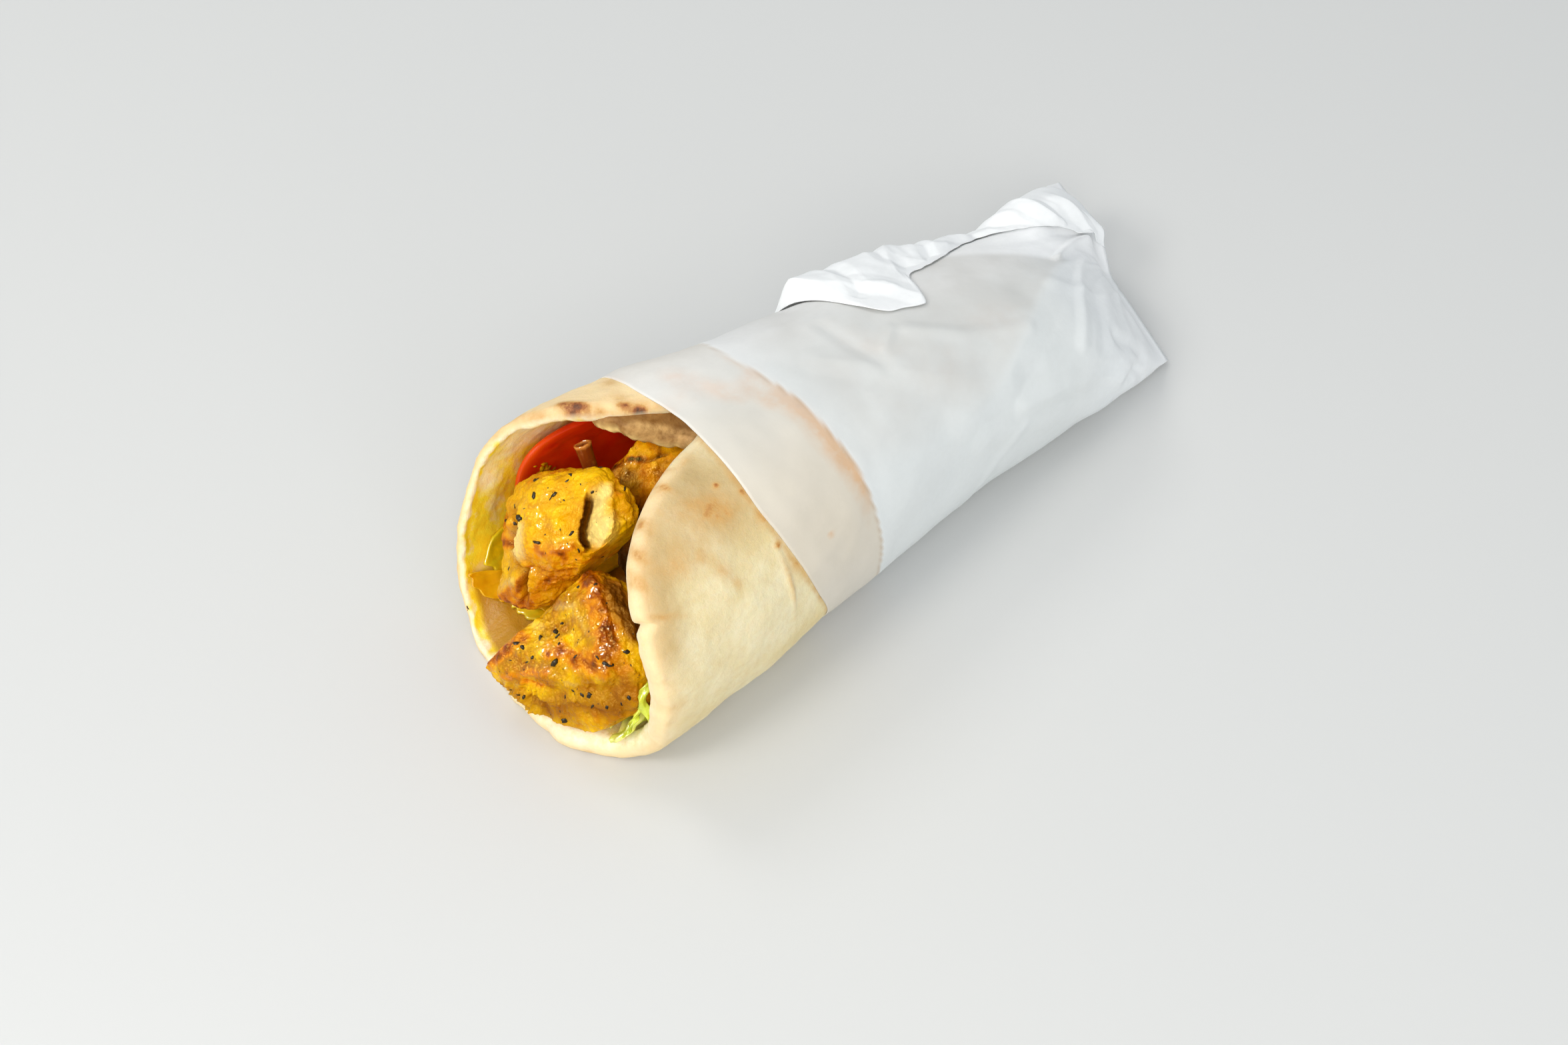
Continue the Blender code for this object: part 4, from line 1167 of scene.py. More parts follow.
BEHIND = (MOUTH_RIGHT * 0.5 + MOUTH_UP * 0.35 - MOUTH_OUT * 0.79).normalized()
BEHIND_PLACE = from_mouth(12.2, 15.3, -1.5)
UNDER = (MOUTH_RIGHT * 0.35 - MOUTH_OUT * 0.94).normalized()
UNDER_PLACE = from_mouth(5, -18, -4.5)


def chunk_ball(around, rings):
    """A sphere with its poles towards the eye and away from it."""
    ball = bmesh.new()
    bmesh.ops.create_uvsphere(ball, u_segments=around, v_segments=rings, radius=1.0)
    return ball


def chunk_points(ball, middle, outline, tilt, front, back, shift):
    """Places in the mouth's frame, in mm, for a lump with a given outline."""
    around = np.degrees(np.arctan2(ball[:, 1], ball[:, 0]))
    side = np.clip(np.hypot(ball[:, 0], ball[:, 1]), 0, 1) ** 0.82
    radius = smooth_through(outline, around, period=360) * side
    right = radius * np.cos(np.radians(around))
    up = radius * np.sin(np.radians(around))
    rise = np.where(ball[:, 2] > 0, front, back) * np.sign(ball[:, 2]) * np.abs(ball[:, 2]) ** 0.9
    relief = 1
    for size, height, offset in ((0.55, 0.10, shift), (0.22, 0.045, shift + 9)):
        away = Vector((offset, 0, 0))
        relief = relief + height * np.array([noise.noise(Vector(p) / size + away) for p in ball])
    return np.stack((right, up, rise + tilt * right), -1) * relief[:, None] + np.array(middle)


def start_chunk(around, rings, middle, *form):
    """A smooth chunk: its mesh, its points, the way out of it, and 1 where it faces the eye."""
    chunk = chunk_ball(around, rings)
    ball = points_of(chunk)
    points = chunk_points(ball, middle, *form)
    outward = points - (np.array(middle) - (0, 0, 2))
    outward /= np.linalg.norm(outward, axis=1, keepdims=True)
    return chunk, points, outward, ramp(ball[:, 2], -0.1, 0.35)


def lay_on(points, outward, height):
    """Move points outwards from the middle of their lump by a height in mm."""
    return points + outward * height[:, None]


def seat_chunk(chunk, points, side, neighbour, normal):
    """Press a chunk against the other one, against what is behind it and into the bread."""
    places = many_from_mouth(points)
    places = press_against(places, SEAM_PLACE + SEAM * (0.15 * side) * MM, SEAM * -side)
    places = press_inside(press_against(places, neighbour - normal * GAP, normal))
    move_points(chunk, places)
    return (np.ptp(places, axis=0) / MM).round(1)


print("the seam between the chunks leans", round(math.degrees(math.atan2(0.60, 0.75))), "degrees")

# %% [markdown]
# The upper chunk is a dome with a lower edge, its lip, and everything falls away under that. At
# its right the skewer left a slot, with a steep left wall, a floor, and a slope up to a torn
# lobe. Thin folds run down its left side.

# %% Model the upper chunk
UPPER_LIP = ((-15, 5.0), (-11, 6.0), (-6, 4.8), (1, 5.2), (5, 2.6), (9, 2.0), (14, 5.0))
UPPER_LEDGE = ((-8, 3.4), (-3.2, 3.2), (1.5, 4.4))
UPPER_FOLDS = (   # strength, reach in mm, then the line as right and up in mm
    (1.0, 0.55, ((-12.1, -0.5), (-11.6, -3.2), (-10.2, -6.4), (-9.6, -8.5))),
    (1.0, 0.55, ((-11.3, 12), (-11.8, 8), (-11.7, 4.5))),
    (0.4, 0.60, ((-9, -1.5), (-4, -2.6), (2, -1.8))),
    (0.6, 0.60, ((1.5, 4.4), (4.5, 1.5), (8, 0.8))),
    (1.1, 0.55, ((-11.6, 12.0), (-11.4, 8.0), (-12.0, 4.2))),
    (1.1, 0.60, ((-10.4, -2.4), (-10.8, -5.5), (-9.6, -9.0))),
)
SLOT_LEFT = ((3.5, 3.4), (6, 2.4), (9, 2.6), (11.5, 3.4), (14.5, 3.6))
SLOT_DEEP = 5.6

upper, points, outward, facing = start_chunk(
    360, 200, (0, 6, 3), UPPER_OUTLINE, 0.50, 11.0, 9.0, 20
)
right, up = points[:, 0], points[:, 1]
lip = smooth_through(UPPER_LIP, right)
under_lip = ramp(lip - up, 0.5, 9.0)
ledge = near_line(right, up, UPPER_LEDGE, 2.0) * 0.9
fold_lines = drawn(right, up, UPPER_FOLDS)

ragged = wobble(points, 1.4, 56)
across = right - smooth_through(SLOT_LEFT, up) + wobble(points, 1.1, 55) * 0.35
slot_depth = ramp(across, 0.0, 0.4) * (1 - 0.35 * ramp(across, 1.3, 1.9))
slot_depth = slot_depth * (1 - np.clip((across - 1.6) / 5.2, 0, 1))
slot_top = up + ragged * 0.8 + 0.5 * np.clip(across, 0, 6)
slot_ends = ramp(up + ragged * 0.6, 2.6, 4.6)
slot_ends = slot_ends * (1 - ramp(slot_top, 14.0, 15.0 + np.clip(across, 0, 3)))

fibres = wobble(points * (0.35, 1.3, 1.0), 0.9, 51) * 0.16 * (0.6 + under_lip * 1.4)
rougher = 0.35 + 0.65 * np.maximum(ramp(right, 6, 9), under_lip)
lumps = wobble(points, 4.2, 52) * 0.7
lumps = lumps + uneven(points, (1.9, 53, 0.34), (0.8, 54, 0.14)) * rougher
lumps = lumps + np.clip(0.55 - cells(points, 1.3, 49), 0, 1) * 0.45 * (0.5 + 0.5 * rougher)
torn_lobe = ramp(right, 7.5, 10.5) * uneven(points, (2.2, 57, 0.8), (0.9, 58, 0.20))
torn_lobe = torn_lobe + np.clip(0.6 - cells(points, 2.6, 47), 0, 1) * 1.2 * ramp(right, 6.5, 9.0)
wrinkles = uneven(points, (0.45, 59, 0.09), (0.75, 50, 0.14))
relief = lumps + fibres + torn_lobe + wrinkles + ledge * facing
relief = relief - (under_lip * 2.2 + fold_lines * 1.5) * facing
points = lay_on(points, outward, relief)
points[:, 2] -= slot_depth * slot_ends * facing * SLOT_DEEP
print("upper chunk spans", seat_chunk(upper, points, 1, BEHIND_PLACE, BEHIND), "mm")

# %% Mark the upper chunk's sear, painted shade and painted highlights
# sear marks, with broad rows under the lip that are painted shade
UPPER_SEAR_AND_SHADE = (   # strength, reach in mm, then the line as right and up in mm
    (0.45, 1.6, ((-5.5, 3.2), (-2.5, 3.0), (0.5, 4.2))),
    (0.45, 0.7, ((-6.2, 4.4), (-5.4, 3.0))), (0.5, 0.7, ((-1.4, 2.6), (-0.4, 1.6))),
    (0.24, 4.0, ((-8, 0), (-3, -1), (3, 1))),
    (0.34, 3.2, ((-7, -6), (-4, -5), (0, -4))),
    (0.95, 1.1, ((-14, -7.0), (-12, -8.8), (-8.5, -9.4))),
    (0.80, 0.7, ((-11.7, -4.6), (-11.6, -6.6))),
    (0.55, 1.2, ((-13.2, 10.5), (-13.4, 7.5), (-13.2, 5.6))),
    (0.70, 0.8, ((-13.2, 5.2), (-12.4, 4.6))),
    (0.38, 1.4, ((10.4, 17.5), (10.8, 15.0))),
    (0.60, 0.4, ((-10.2, -1.4), (-9.2, -1.8))),
    (0.55, 0.4, ((-6.2, -2.0), (-5.6, -2.1))),
    (0.55, 0.5, ((-5.3, -4.8), (-4.6, -4.9))),
    (0.40, 0.7, ((-8.0, 17.6), (-4.0, 19.6), (0.0, 20.4))),
    (0.30, 2.4, ((6.0, 1.0), (10.0, 2.0))),
)
# pale meat in the slot, and painted highlights on the lit left flank, the right lobe and the top
# right
UPPER_PALE_AND_LIT = (
    (0.98, 1.9, ((6.4, 14.0), (6.0, 10.0), (5.6, 6.0))),
    (0.50, 0.9, ((8.4, 9.5), (7.6, 6.2), (6.6, 4.6))),
    (0.70, 1.2, ((7.9, 16.3), (8.3, 15.4))),
    (0.75, 1.6, ((-10.4, 8.0), (-10.4, 2.0))),
    (0.30, 2.0, ((9.4, 10.0), (9.6, 5.0))),
    (0.50, 1.0, ((-13.4, -4.2), (-13.2, -5.0))),
)
UPPER_WET = (((-7.4, 10.6), (-3.0, 8.2)), ((-5.6, 4.6), (0.5, 4.4)), ((-10.6, 9), (-10.2, 3)))


def wetted(wet, a, b, lines, reach):
    """Add wet streaks along lines to a wetness."""
    for line in lines:
        wet = np.maximum(wet, near_line(a, b, line, reach))
    return wet


under = ramp(lip - up, 1.0, 6.0) * facing
slot_walls = (hump(across, 0.5, 0.6) * 1.3 + hump(across, 1.3, 0.5) * 0.6) * slot_ends
shaded = (slot_walls + np.clip(fold_lines, 0, 1) * 0.55 + 0.4 * ramp(right, 12.0, 15.0)) * facing
rough_edge = 1 + wobble(points, 1.6, 60) * 0.7
# plus painted shade under the lip, in sear colours
upper_sear_and_shade = drawn(right, up, UPPER_SEAR_AND_SHADE) * rough_edge + 0.06 * under
wet = np.clip(0.30 + wobble(points, 2.2, 65) * 1.6, 0, 1)
# the pale mark holds pale meat and painted highlights
upper_marks = {"sear_and_shade": upper_sear_and_shade, "pale": drawn(right, up, UPPER_PALE_AND_LIT),
               "wet": wetted(wet, points[:, 0], points[:, 1], UPPER_WET, 1.6),
               "shade": shaded + 0.22 * under}
print("seared share:", float((upper_sear_and_shade > 0.5).mean().round(3)))

# %% [markdown]
# Grilled chicken is not one colour. The finish mixes a bright and a deep yellow, lets the sear
# marks run from orange through red-brown to nearly black, and adds a wet coat on top. The sear
# colours also paint shade under the upper lip and on the lower chunk, the shade mark paints shade
# in the slot, the folds and the gaps, and the pale mark adds pale meat and painted highlights.
# Fine bumps break the highlights into the small white glints that juice makes.

# %% Finish of the chicken
def chicken_finish(name, bright, deep):
    """Turmeric-yellow meat with seared places, painted shade and painted highlights, wet on top."""
    material, tree, shader = new_finish(name)
    broad, lumpy = grain(tree, 150, 3.0, 0.55), grain(tree, 420, 4.0, 0.6)
    fine, granules = grain(tree, 1100, 4.0, 0.6), grain(tree, 2300, 2.0, 0.5)
    threads = grain(tree, 900, 3.0, 0.6, ((0.3, 0.5, 0.9), (0.25, 1.0, 1.0)))
    pale, wet, shaded = (mark(tree, kind) for kind in ("pale", "wet", "shade"))
    # the sear mark also carries painted shade
    seared = times(tree, mark(tree, "sear_and_shade"), spread(tree, lumpy, 0.3, 0.7, 0.70, 1.30))
    feed(tree, shader, {
        "Base Color": paint(tree, bright, (
            (broad, 0.38, 0.62, 1.0, deep),
            (lumpy, 0.48, 0.78, 0.7, (0.55, 0.19, 0.0005)),
            (threads, 0.56, 0.80, 0.35, (0.98, 0.70, 0.05)),
            # pale meat and painted highlights
            (pale, 0.1, 0.9, 1.0, (0.96, 0.72, 0.22)),
            (seared, 0.10, 0.50, 1.0, (0.70, 0.225, 0.0005)),
            (seared, 0.45, 0.85, 1.0, (0.36, 0.070, 0.0005)),
            (seared, 0.85, 1.25, 1.0, (0.15, 0.026, 0.0005)),
            (shaded, 0.0, 0.9, 1.0, (0.27, 0.080, 0.0005)),
            (shaded, 0.8, 1.6, 1.0, (0.065, 0.018, 0.0005)),
            (seared, 1.20, 1.70, 1.0, (0.030, 0.009, 0.002)),
        )),
        "Roughness": spread(tree, wet, 0.0, 1.0, 0.50, 0.18),
        "Specular IOR Level": 0.42,
        "Specular Tint": (1.0, 0.62, 0.12, 1.0),
        "Subsurface Weight": 0.06,
        "Subsurface Radius": (1.0, 0.45, 0.08),
        "Subsurface Scale": 1.6 * MM,
        "Coat Weight": spread(tree, wet, 0.50, 1.0, 0.0, 0.40),
        "Coat Roughness": 0.08,
    })
    roughen(tree, shader, (
        (lumpy, 0.7 * MM, 0.55), (fine, 0.40 * MM, 0.65),
        (threads, 0.2 * MM, 0.4), (granules, 0.16 * MM, 0.75),
    ))
    return material


CHICKEN = chicken_finish("grilled chicken", (0.90, 0.50, 0.0005), (0.70, 0.31, 0.0005))
# a darker copy of the chicken's finish: painted shade for the lower chunk and the crumbs
SHADED_CHICKEN = chicken_finish("chicken in painted shade", (0.84, 0.48, 0.0005), (0.38, 0.125, 0.0005))
upper_piece = add_piece(
    "chicken_upper_piece", upper, CHICKEN, "chicken_upper", upper_marks
)
print("finishes of the chicken:", CHICKEN.name, "and", SHADED_CHICKEN.name)

# %% [markdown]
# The lower chunk leans out further and is in the shade of the upper one, so its finish is a
# darker copy of the chicken's, painted shade. Two ridges frame its front, with a hollow between
# them and a shelf below, and its lower left corner is frayed.

# %% Model the lower chunk
LOWER_RIDGES = (   # strength, reach in mm, then the line as right and up in mm
    (0.8, 1.5, ((-16, -20), (-12, -22.4), (-8.5, -21.8), (-3.5, -22.0), (3, -22.5), (9, -21.5))),
    (1.1, 1.7, ((3.6, -1.0), (5.6, -6.5), (6.5, -12.5), (6.0, -18.0), (8.0, -23.0))),
)
LOWER_HOLLOWS = (
    (0.7, 3.8, ((-6, -13.5), (-1, -11.5), (1.5, -16))),
    (0.9, 1.6, ((-10, -24.5), (-4, -26), (4, -25.5), (10, -25))),
)
LOWER_FOLDS = (
    (0.7, 0.7, ((7.5, -5), (9.5, -10), (10.5, -15))),
    (0.5, 0.8, ((-3, -30.5), (1, -28.5), (7, -29.8))),
    (0.9, 0.6, ((-8, -27.5), (-5, -29), (-3.5, -31.5))),
)

lower, points, outward, facing = start_chunk(
    380, 210, (2, -18, 8), LOWER_OUTLINE, 0.55, 11.0, 9.5, 41
)
right, up = points[:, 0], points[:, 1]
folds = drawn(right, up, LOWER_FOLDS)
broad_forms = drawn(right, up, LOWER_RIDGES) - drawn(right, up, LOWER_HOLLOWS) - folds
pits = np.clip(0.30 - cells(points, 2.6, 61), 0, 1) * facing
frayed = ramp(-right, 3, 8) * ramp(-up, 22, 26)
frayed = frayed * uneven(points, (1.3, 67, 1.4), (0.6, 68, 0.7))
lumps = uneven(points, (4.0, 62, 0.7), (1.8, 63, 0.42), (0.8, 64, 0.20), (0.5, 66, 0.17))
lumps = lumps + wobble(points * (1.2, 0.4, 1.0), 0.9, 69) * 0.14
lumps = lumps + np.clip(0.55 - cells(points, 1.4, 48), 0, 1) * 0.60
points = lay_on(points, outward, lumps + frayed + broad_forms * facing - pits * 1.6)
print("lower chunk spans", seat_chunk(lower, points, -1, UNDER_PLACE, UNDER), "mm")

# %% Mark the lower chunk's sear, painted shade and painted highlights
# sear marks, with some broad rows that paint shade across the middle and the bottom
LOWER_SEAR_AND_SHADE = (
    (0.80, 1.7, ((-16.4, -20), (-13.4, -17.6), (-9.6, -14.4))),
    (0.30, 1.1, ((-14.6, -19.4), (-13.2, -17.8))),
    (0.80, 2.8, ((5.0, -3), (7.0, -8), (8.6, -15))),
    (0.40, 2.0, ((8.1, -11.4), (8.4, -16.4))),
    (0.60, 1.0, ((-4.0, -18.2), (-2.6, -18.6))),
    (0.45, 1.0, ((0.8, -18.4), (2.2, -18.7))),
    (0.50, 0.9, ((-12.4, -23.0), (-8.5, -21.8), (-3.8, -21.6))),
    (0.65, 0.9, ((-8.8, -24.0), (-5.0, -24.7))),
    (0.50, 2.0, ((5.5, -19), (8.5, -20.4), (11.5, -20.5))),
    (0.40, 1.4, ((3.6, -1.2), (4.6, -4.0))),
    (0.20, 1.6, ((-6, -15.6), (-1, -16.4))),
    (0.25, 3.0, ((4, -31), (9, -31))),
    (0.50, 2.2, ((-1.5, -17.2), (2.0, -19.5), (5.5, -20.5))),
    (0.25, 1.6, ((7.0, -13.8), (8.2, -17.0))),
)
# painted shade on the lower right and across the bottom
LOWER_PAINTED_SHADE = (
    (0.40, 3.4, ((9, -19), (12, -24), (10, -29))), (0.28, 3.2, ((-2, -25), (5, -26), (10, -25))),
)
# painted highlights: pale spots on the lower chunk's lit faces
LOWER_PALE_AND_LIT = (
    (0.30, 0.8, ((-2.2, -8.4), (1.5, -8.0))), (0.20, 0.7, ((2.2, -9.5), (4.0, -13.5))),
    (0.30, 1.0, ((-7.5, -12.0), (-5.5, -12.2))), (0.30, 0.8, ((0, -24), (1.5, -24.4))),
)
LOWER_WET = (
    ((0, -8), (4, -12.5)), ((-6, -17), (-1.5, -17.4)), ((5.8, -14.5), (8.2, -18)),
    ((-9, -21), (-4, -21)),
)
DARK_FROM = (   # where the side in the shade begins: up, right
    (-30, 17), (-23, 14.0), (-19, 13.2), (-14.4, 11.6), (-10, 9.6), (-6, 7.8), (-2, 6.6),
)

away_side = ramp(right - smooth_through(DARK_FROM, up), -1.0, 2.2)
away_side = away_side * (1 - 0.9 * ramp(-up, 13.0, 17.5)) * 1.25
away_side = away_side + 0.45 * hump(up, -29.5, 3.0) + 0.5 * np.clip(folds, 0, 1)
away_side = (away_side + drawn(right, up, LOWER_PAINTED_SHADE)) * facing
in_light = 1 - np.clip(away_side, 0, 1)
lower_sear_and_shade = drawn(right, up, LOWER_SEAR_AND_SHADE) * (1 + wobble(points, 1.5, 75) * 0.8)
lower_sear_and_shade = np.minimum(lower_sear_and_shade, 0.80 + 0.25 * lower_sear_and_shade)
wet = np.clip(0.30 + wobble(points, 1.5, 76) * 1.9, 0, 1) * (1 - 0.6 * ramp(-up, 24, 28))
wet = wetted(wet, right, up, LOWER_WET, 1.8) * (0.15 + 0.85 * in_light)
wet = wet + 0.35 * np.clip(lower_sear_and_shade, 0, 1) * in_light
# the pale mark holds painted highlights
lower_piece = add_piece(
    "chicken_lower_piece", lower, SHADED_CHICKEN, "chicken_lower",
    {"sear_and_shade": lower_sear_and_shade, "pale": drawn(right, up, LOWER_PALE_AND_LIT), "wet": wet, "shade": away_side},
)
print("seared share:", float((lower_sear_and_shade > 0.5).mean().round(3)))

# %% [markdown]
# ## The chicken behind
#
# Behind the two chunks more chicken fills the roll. Only a corner of it shows, at the right of
# the tomato and in the dark gap beside the flap: coarse, pulled meat in deep shade. It is one
# long lump that follows the roll, with strong fibres at its front.

# %% Fill the roll
CORE_FRONT, CORE_BACK = -62.0 * MM, 57.0 * MM
CORE_MIDDLE, CORE_HALF = (CORE_FRONT + CORE_BACK) / 2, (CORE_BACK - CORE_FRONT) / 2
CORE_CRACKS = (   # strength, reach in mm, then the line as right and up in mm
    (1.0, 0.5, ((19.6, 26.4), (19.4, 23.9), (17.4, 22.9))),
    (1.0, 0.5, ((19.4, 23.9), (21.0, 24.4))),
)

core = chunk_ball(300, 150)
ball = points_of(core)
to_front = (np.arccos(np.clip(-ball[:, 2], -1, 1)) / math.pi) ** 1.5    # rings crowd in front
along = -np.cos(math.pi * to_front)
x = CORE_MIDDLE + CORE_HALF * along
angle = np.degrees(np.arctan2(-ball[:, 1], ball[:, 0])) % 360
centre, width, half_height, middle, _ = section_at(x)
far = ramp(angle, 205, 225) * (1 - ramp(angle, 305, 325)) * (1 - ramp(x, -22 * MM, -12 * MM))
top = np.maximum(ramp(angle, 292, 306), 1 - ramp(angle, 40, 54)) * (1 - ramp(x, -8 * MM, 0))
on_bread = BREAD_THICK + PAPER_THICK + 3 * GAP
depth = np.maximum(on_bread + far * 7.5 * MM, (on_bread + PLY_THICK) * top)
depth = np.maximum(depth, liner_depth(angle) + GAP) + 0.9 * MM
sine, cosine = np.sin(np.radians(angle)), np.cos(np.radians(angle))
reach = section_reach(x, sine, cosine, width - depth, half_height - depth)
reach = reach * np.sqrt(np.clip(1 - np.abs(along) ** 10, 0, 1))
places = np.stack((x, centre - reach * sine, np.maximum(middle + reach * cosine, depth)), -1)
places = press_against(places, BEHIND_PLACE, -BEHIND, 0.6 * MM)
places = press_against(places, UNDER_PLACE, -UNDER, 0.6 * MM)
points = to_mouth(places)
right, up = points[:, 0], points[:, 1]
at_front = ramp(-x / MM, 10, 25)
high = ramp(up - 0.12 * right, 19.5, 23.0)
threads = wobble(points * (1.5, 0.4, 0.7), 1.7, 71) * 0.8 + wobble(points, 3.6, 72) * 1.3
pebbles = np.clip(0.80 - cells(points * (1.0, 1.2, 1.0), 2.3, 73), 0, 1)
cracks = drawn(right, up, CORE_CRACKS)
clefts = np.abs(threads) * (0.8 - 0.4 * high) + (0.80 - pebbles) * (0.7 + 0.7 * high) + cracks
clefts = clefts + wobble(points, 0.7, 79) * 0.32
clefts = clefts + wobble(points * (1.6, 0.5, 0.8), 1.1, 80) * 0.35
inwards = np.stack((x, centre, middle), -1) - places
inwards /= np.linalg.norm(inwards, axis=1, keepdims=True)
push = inwards * 0.4 - np.array(MOUTH_OUT) * 0.8
places = places + push * (clefts * at_front * MM)[:, None]
move_points(core, places)
print("the chicken behind is", float((np.ptp(places[:, 0]) / MM).round(0)), "mm long")

# %% Mark and finish the chicken behind
CHAR_LINE = ((7.5, 20.4), (10, 21.4), (12.8, 22.8), (16.2, 23.2))
CORE_SHADE_LINE = ((12.6, 20.5), (12.4, 16.0), (13.4, 11.0))

charred_edge = near_line(right, up, CHAR_LINE, 0.7) * 0.9 * (1 + wobble(points, 1.0, 77) * 1.5)
core_sear = np.clip(0.30 + wobble(points, 3.0, 74) * 0.9, 0, 1.0) * (1 - high) + charred_edge
# painted shade: darker low down, along a line at the right, in the cracks and between the pebbles
deep_gap = ramp(17.5 - up, 0, 7) * 1.1 + ramp(6 - up, 0, 6) * 0.7
deep_gap = deep_gap + near_line(right, up, CORE_SHADE_LINE, 2.0) * 0.55
deep_gap = deep_gap + cracks * 0.8 + ramp(0.30 - pebbles, 0, 0.30) * 0.4
core_marks = {"sear_and_shade": core_sear * at_front, "pale": x * 0, "shade": deep_gap * at_front,
              "wet": np.clip(wobble(points, 2.0, 78) * 1.6, 0, 1) * ramp(up, 10, 18)}
MEAT_IN_SHADE = chicken_finish("chicken in the shade", (1.0, 0.52, 0.004), (0.84, 0.28, 0.001))
add_piece("chicken_behind", core, MEAT_IN_SHADE, "chicken_core", core_marks)
print("share of it in deep shade:", float((core_marks["shade"] > 0.5).mean().round(2)))

# %% [markdown]
# ## Herbs and pepper
#
# Dried herbs and cracked pepper stick to the chunks, nearly black against the yellow. The large
# flakes sit where the picture shows them, and small ones are scattered between. Each flake is
# a flattened, uneven crumb of a few dozen faces, dropped on the meat along the line of sight and
# pressed in a little.

# %% Where the large flakes are
UPPER_HERBS = (   # right and up in mm in the mouth's frame, size in mm
    (-6.9, 14.9, 1.9), (-2.7, 14.9, 1.6), (-3.4, 14.2, 0.9), (0, 17.8, 1.4), (0.7, 19.2, 1.4),
    (-6.7, 17.9, 1.7), (-6.1, 18.4, 1.1), (-11, 12.7, 0.9), (-10.1, 10.2, 2.1), (-10.9, 9.0, 1.1),
    (-8.9, 12.1, 0.6), (0.85, 6.7, 1.9), (-6.4, 5.0, 2.1), (2.8, 17.0, 0.7), (5.3, 15.4, 0.9),
    (2.5, 3.1, 1.3), (-12.2, -0.5, 1.3), (7.4, 2.0, 1.0), (-10.2, 8.0, 0.5), (-12.9, 9.7, 1.2),
    (7.1, 20.6, 1.6), (12.0, 16.2, 1.0), (1.9, 1.4, 0.6), (-0.6, 13.7, 0.7), (-4.5, 6.6, 0.6),
)
LOWER_HERBS = (
    (-10.4, -16.0, 1.7), (-9.1, -16.9, 1.3), (-5.5, -14.9, 1.8), (-2.2, -13.2, 1.9),
    (-1.7, -14.2, 1.6), (-0.9, -11.7, 1.0), (-1.7, -16.0, 1.1), (-7.1, -18.8, 1.0),
    (-8.2, -19.8, 1.1), (-11.7, -19.5, 0.7), (-2.8, -19.8, 2.3), (1.7, -18.5, 1.3),
    (6.2, -18.5, 1.2), (8.0, -19.8, 1.9), (9.0, -20.2, 1.5), (12.2, -17.3, 1.5),
    (13.0, -20.2, 0.9), (1.2, -25.5, 0.9), (1.6, -26.1, 0.6), (3.2, -26.4, 1.8),
    (4.5, -26.6, 1.6), (5.2, -28.8, 1.5), (8.2, -28.8, 1.3), (11.1, -28.1, 1.0),
    (12.7, -27.0, 1.4), (-0.4, -32.0, 1.7), (-0.3, -26.8, 1.0), (5.8, -3.6, 1.0),
    (2.4, -4.2, 1.0), (8.1, -7.5, 0.9), (-11.8, -25.7, 0.9), (-9.0, -27.2, 1.1),
    (-1.4, -30.0, 0.6), (4.5, -13.3, 0.6), (1.4, -12.9, 0.5), (2.4, -15.0, 0.5),
    (-8.8, -21.4, 0.6), (-10.1, -26.8, 0.8),
)
print("herbs placed by hand:", len(UPPER_HERBS) + len(LOWER_HERBS))

# %% Drop flakes on a piece
DROP_HEIGHT = 60            # in mm, outside the mouth
STEEPEST = 0.15             # where the meat turns away more than this, nothing sticks


def surface_of(piece):
    """A piece's surface, ready for dropping things on it."""
    return BVHTree.FromObject(piece, bpy.context.evaluated_depsgraph_get())


def flake_on(group, hit, normal, size, flat, draw):
    """Press one uneven flake into a surface and add it to a group."""
    made = bmesh.ops.create_icosphere(group, subdivisions=2, radius=1.0)["verts"]
    for vertex in made:
        vertex.co.x = math.copysign(abs(vertex.co.x) ** 0.8, vertex.co.x)
        vertex.co *= 1 + draw.uniform(-0.25, 0.25)
    shape = Matrix.Diagonal((size / 2, size / 2 * draw.uniform(0.35, 0.75), size / 2 * flat, 1))
    spin = Matrix.Rotation(draw.uniform(0, math.tau), 4, "Z")
    turn = normal.to_track_quat("Z", "Y").to_matrix().to_4x4()
    place = Matrix.Translation(hit - normal * size * flat * 0.22)
    bmesh.ops.transform(group, matrix=place @ turn @ spin @ shape, verts=made)


def drop_flakes(name, piece, table, extra, box, sizes, material, flat, seed):
    """Drop flakes on a piece: the ones in the table, and extra ones scattered in a box."""
    surface = surface_of(piece)
    draw = random.Random(seed)
    shift = Vector(ORIGIN_SHIFT)
    rows = list(table)
    for _ in range(extra):
        rows.append((draw.uniform(*box[0]), draw.uniform(*box[1]), draw.uniform(*sizes)))
    group = bmesh.new()
    for right, up, size in rows:
        start = from_mouth(right, up, DROP_HEIGHT) + shift
        hit, normal, _, _ = surface.ray_cast(start, -MOUTH_OUT)
        if hit is not None and normal.dot(MOUTH_OUT) > STEEPEST:
            flake_on(group, hit - shift, normal, size * MM, flat, draw)
    return add_piece(name, group, material)


print("flakes fall from", DROP_HEIGHT, "mm outside the mouth")

# %% Scatter the herbs
def herb_finish(name, dark, green):
    """Dried herb: almost black, with a little green."""
    material, tree, shader = new_finish(name)
    speck = grain(tree, 1400, 3.0, 0.6)
    feed(tree, shader, {
        "Base Color": paint(tree, dark, ((speck, 0.4, 0.7, 1.0, green),)),
        "Roughness": 0.55,
        "Specular IOR Level": 0.15,
        "Coat Weight": 0.10,
        "Coat Roughness": 0.20,
    })
    roughen(tree, shader, ((speck, 0.2 * MM, 0.5),))
    return material


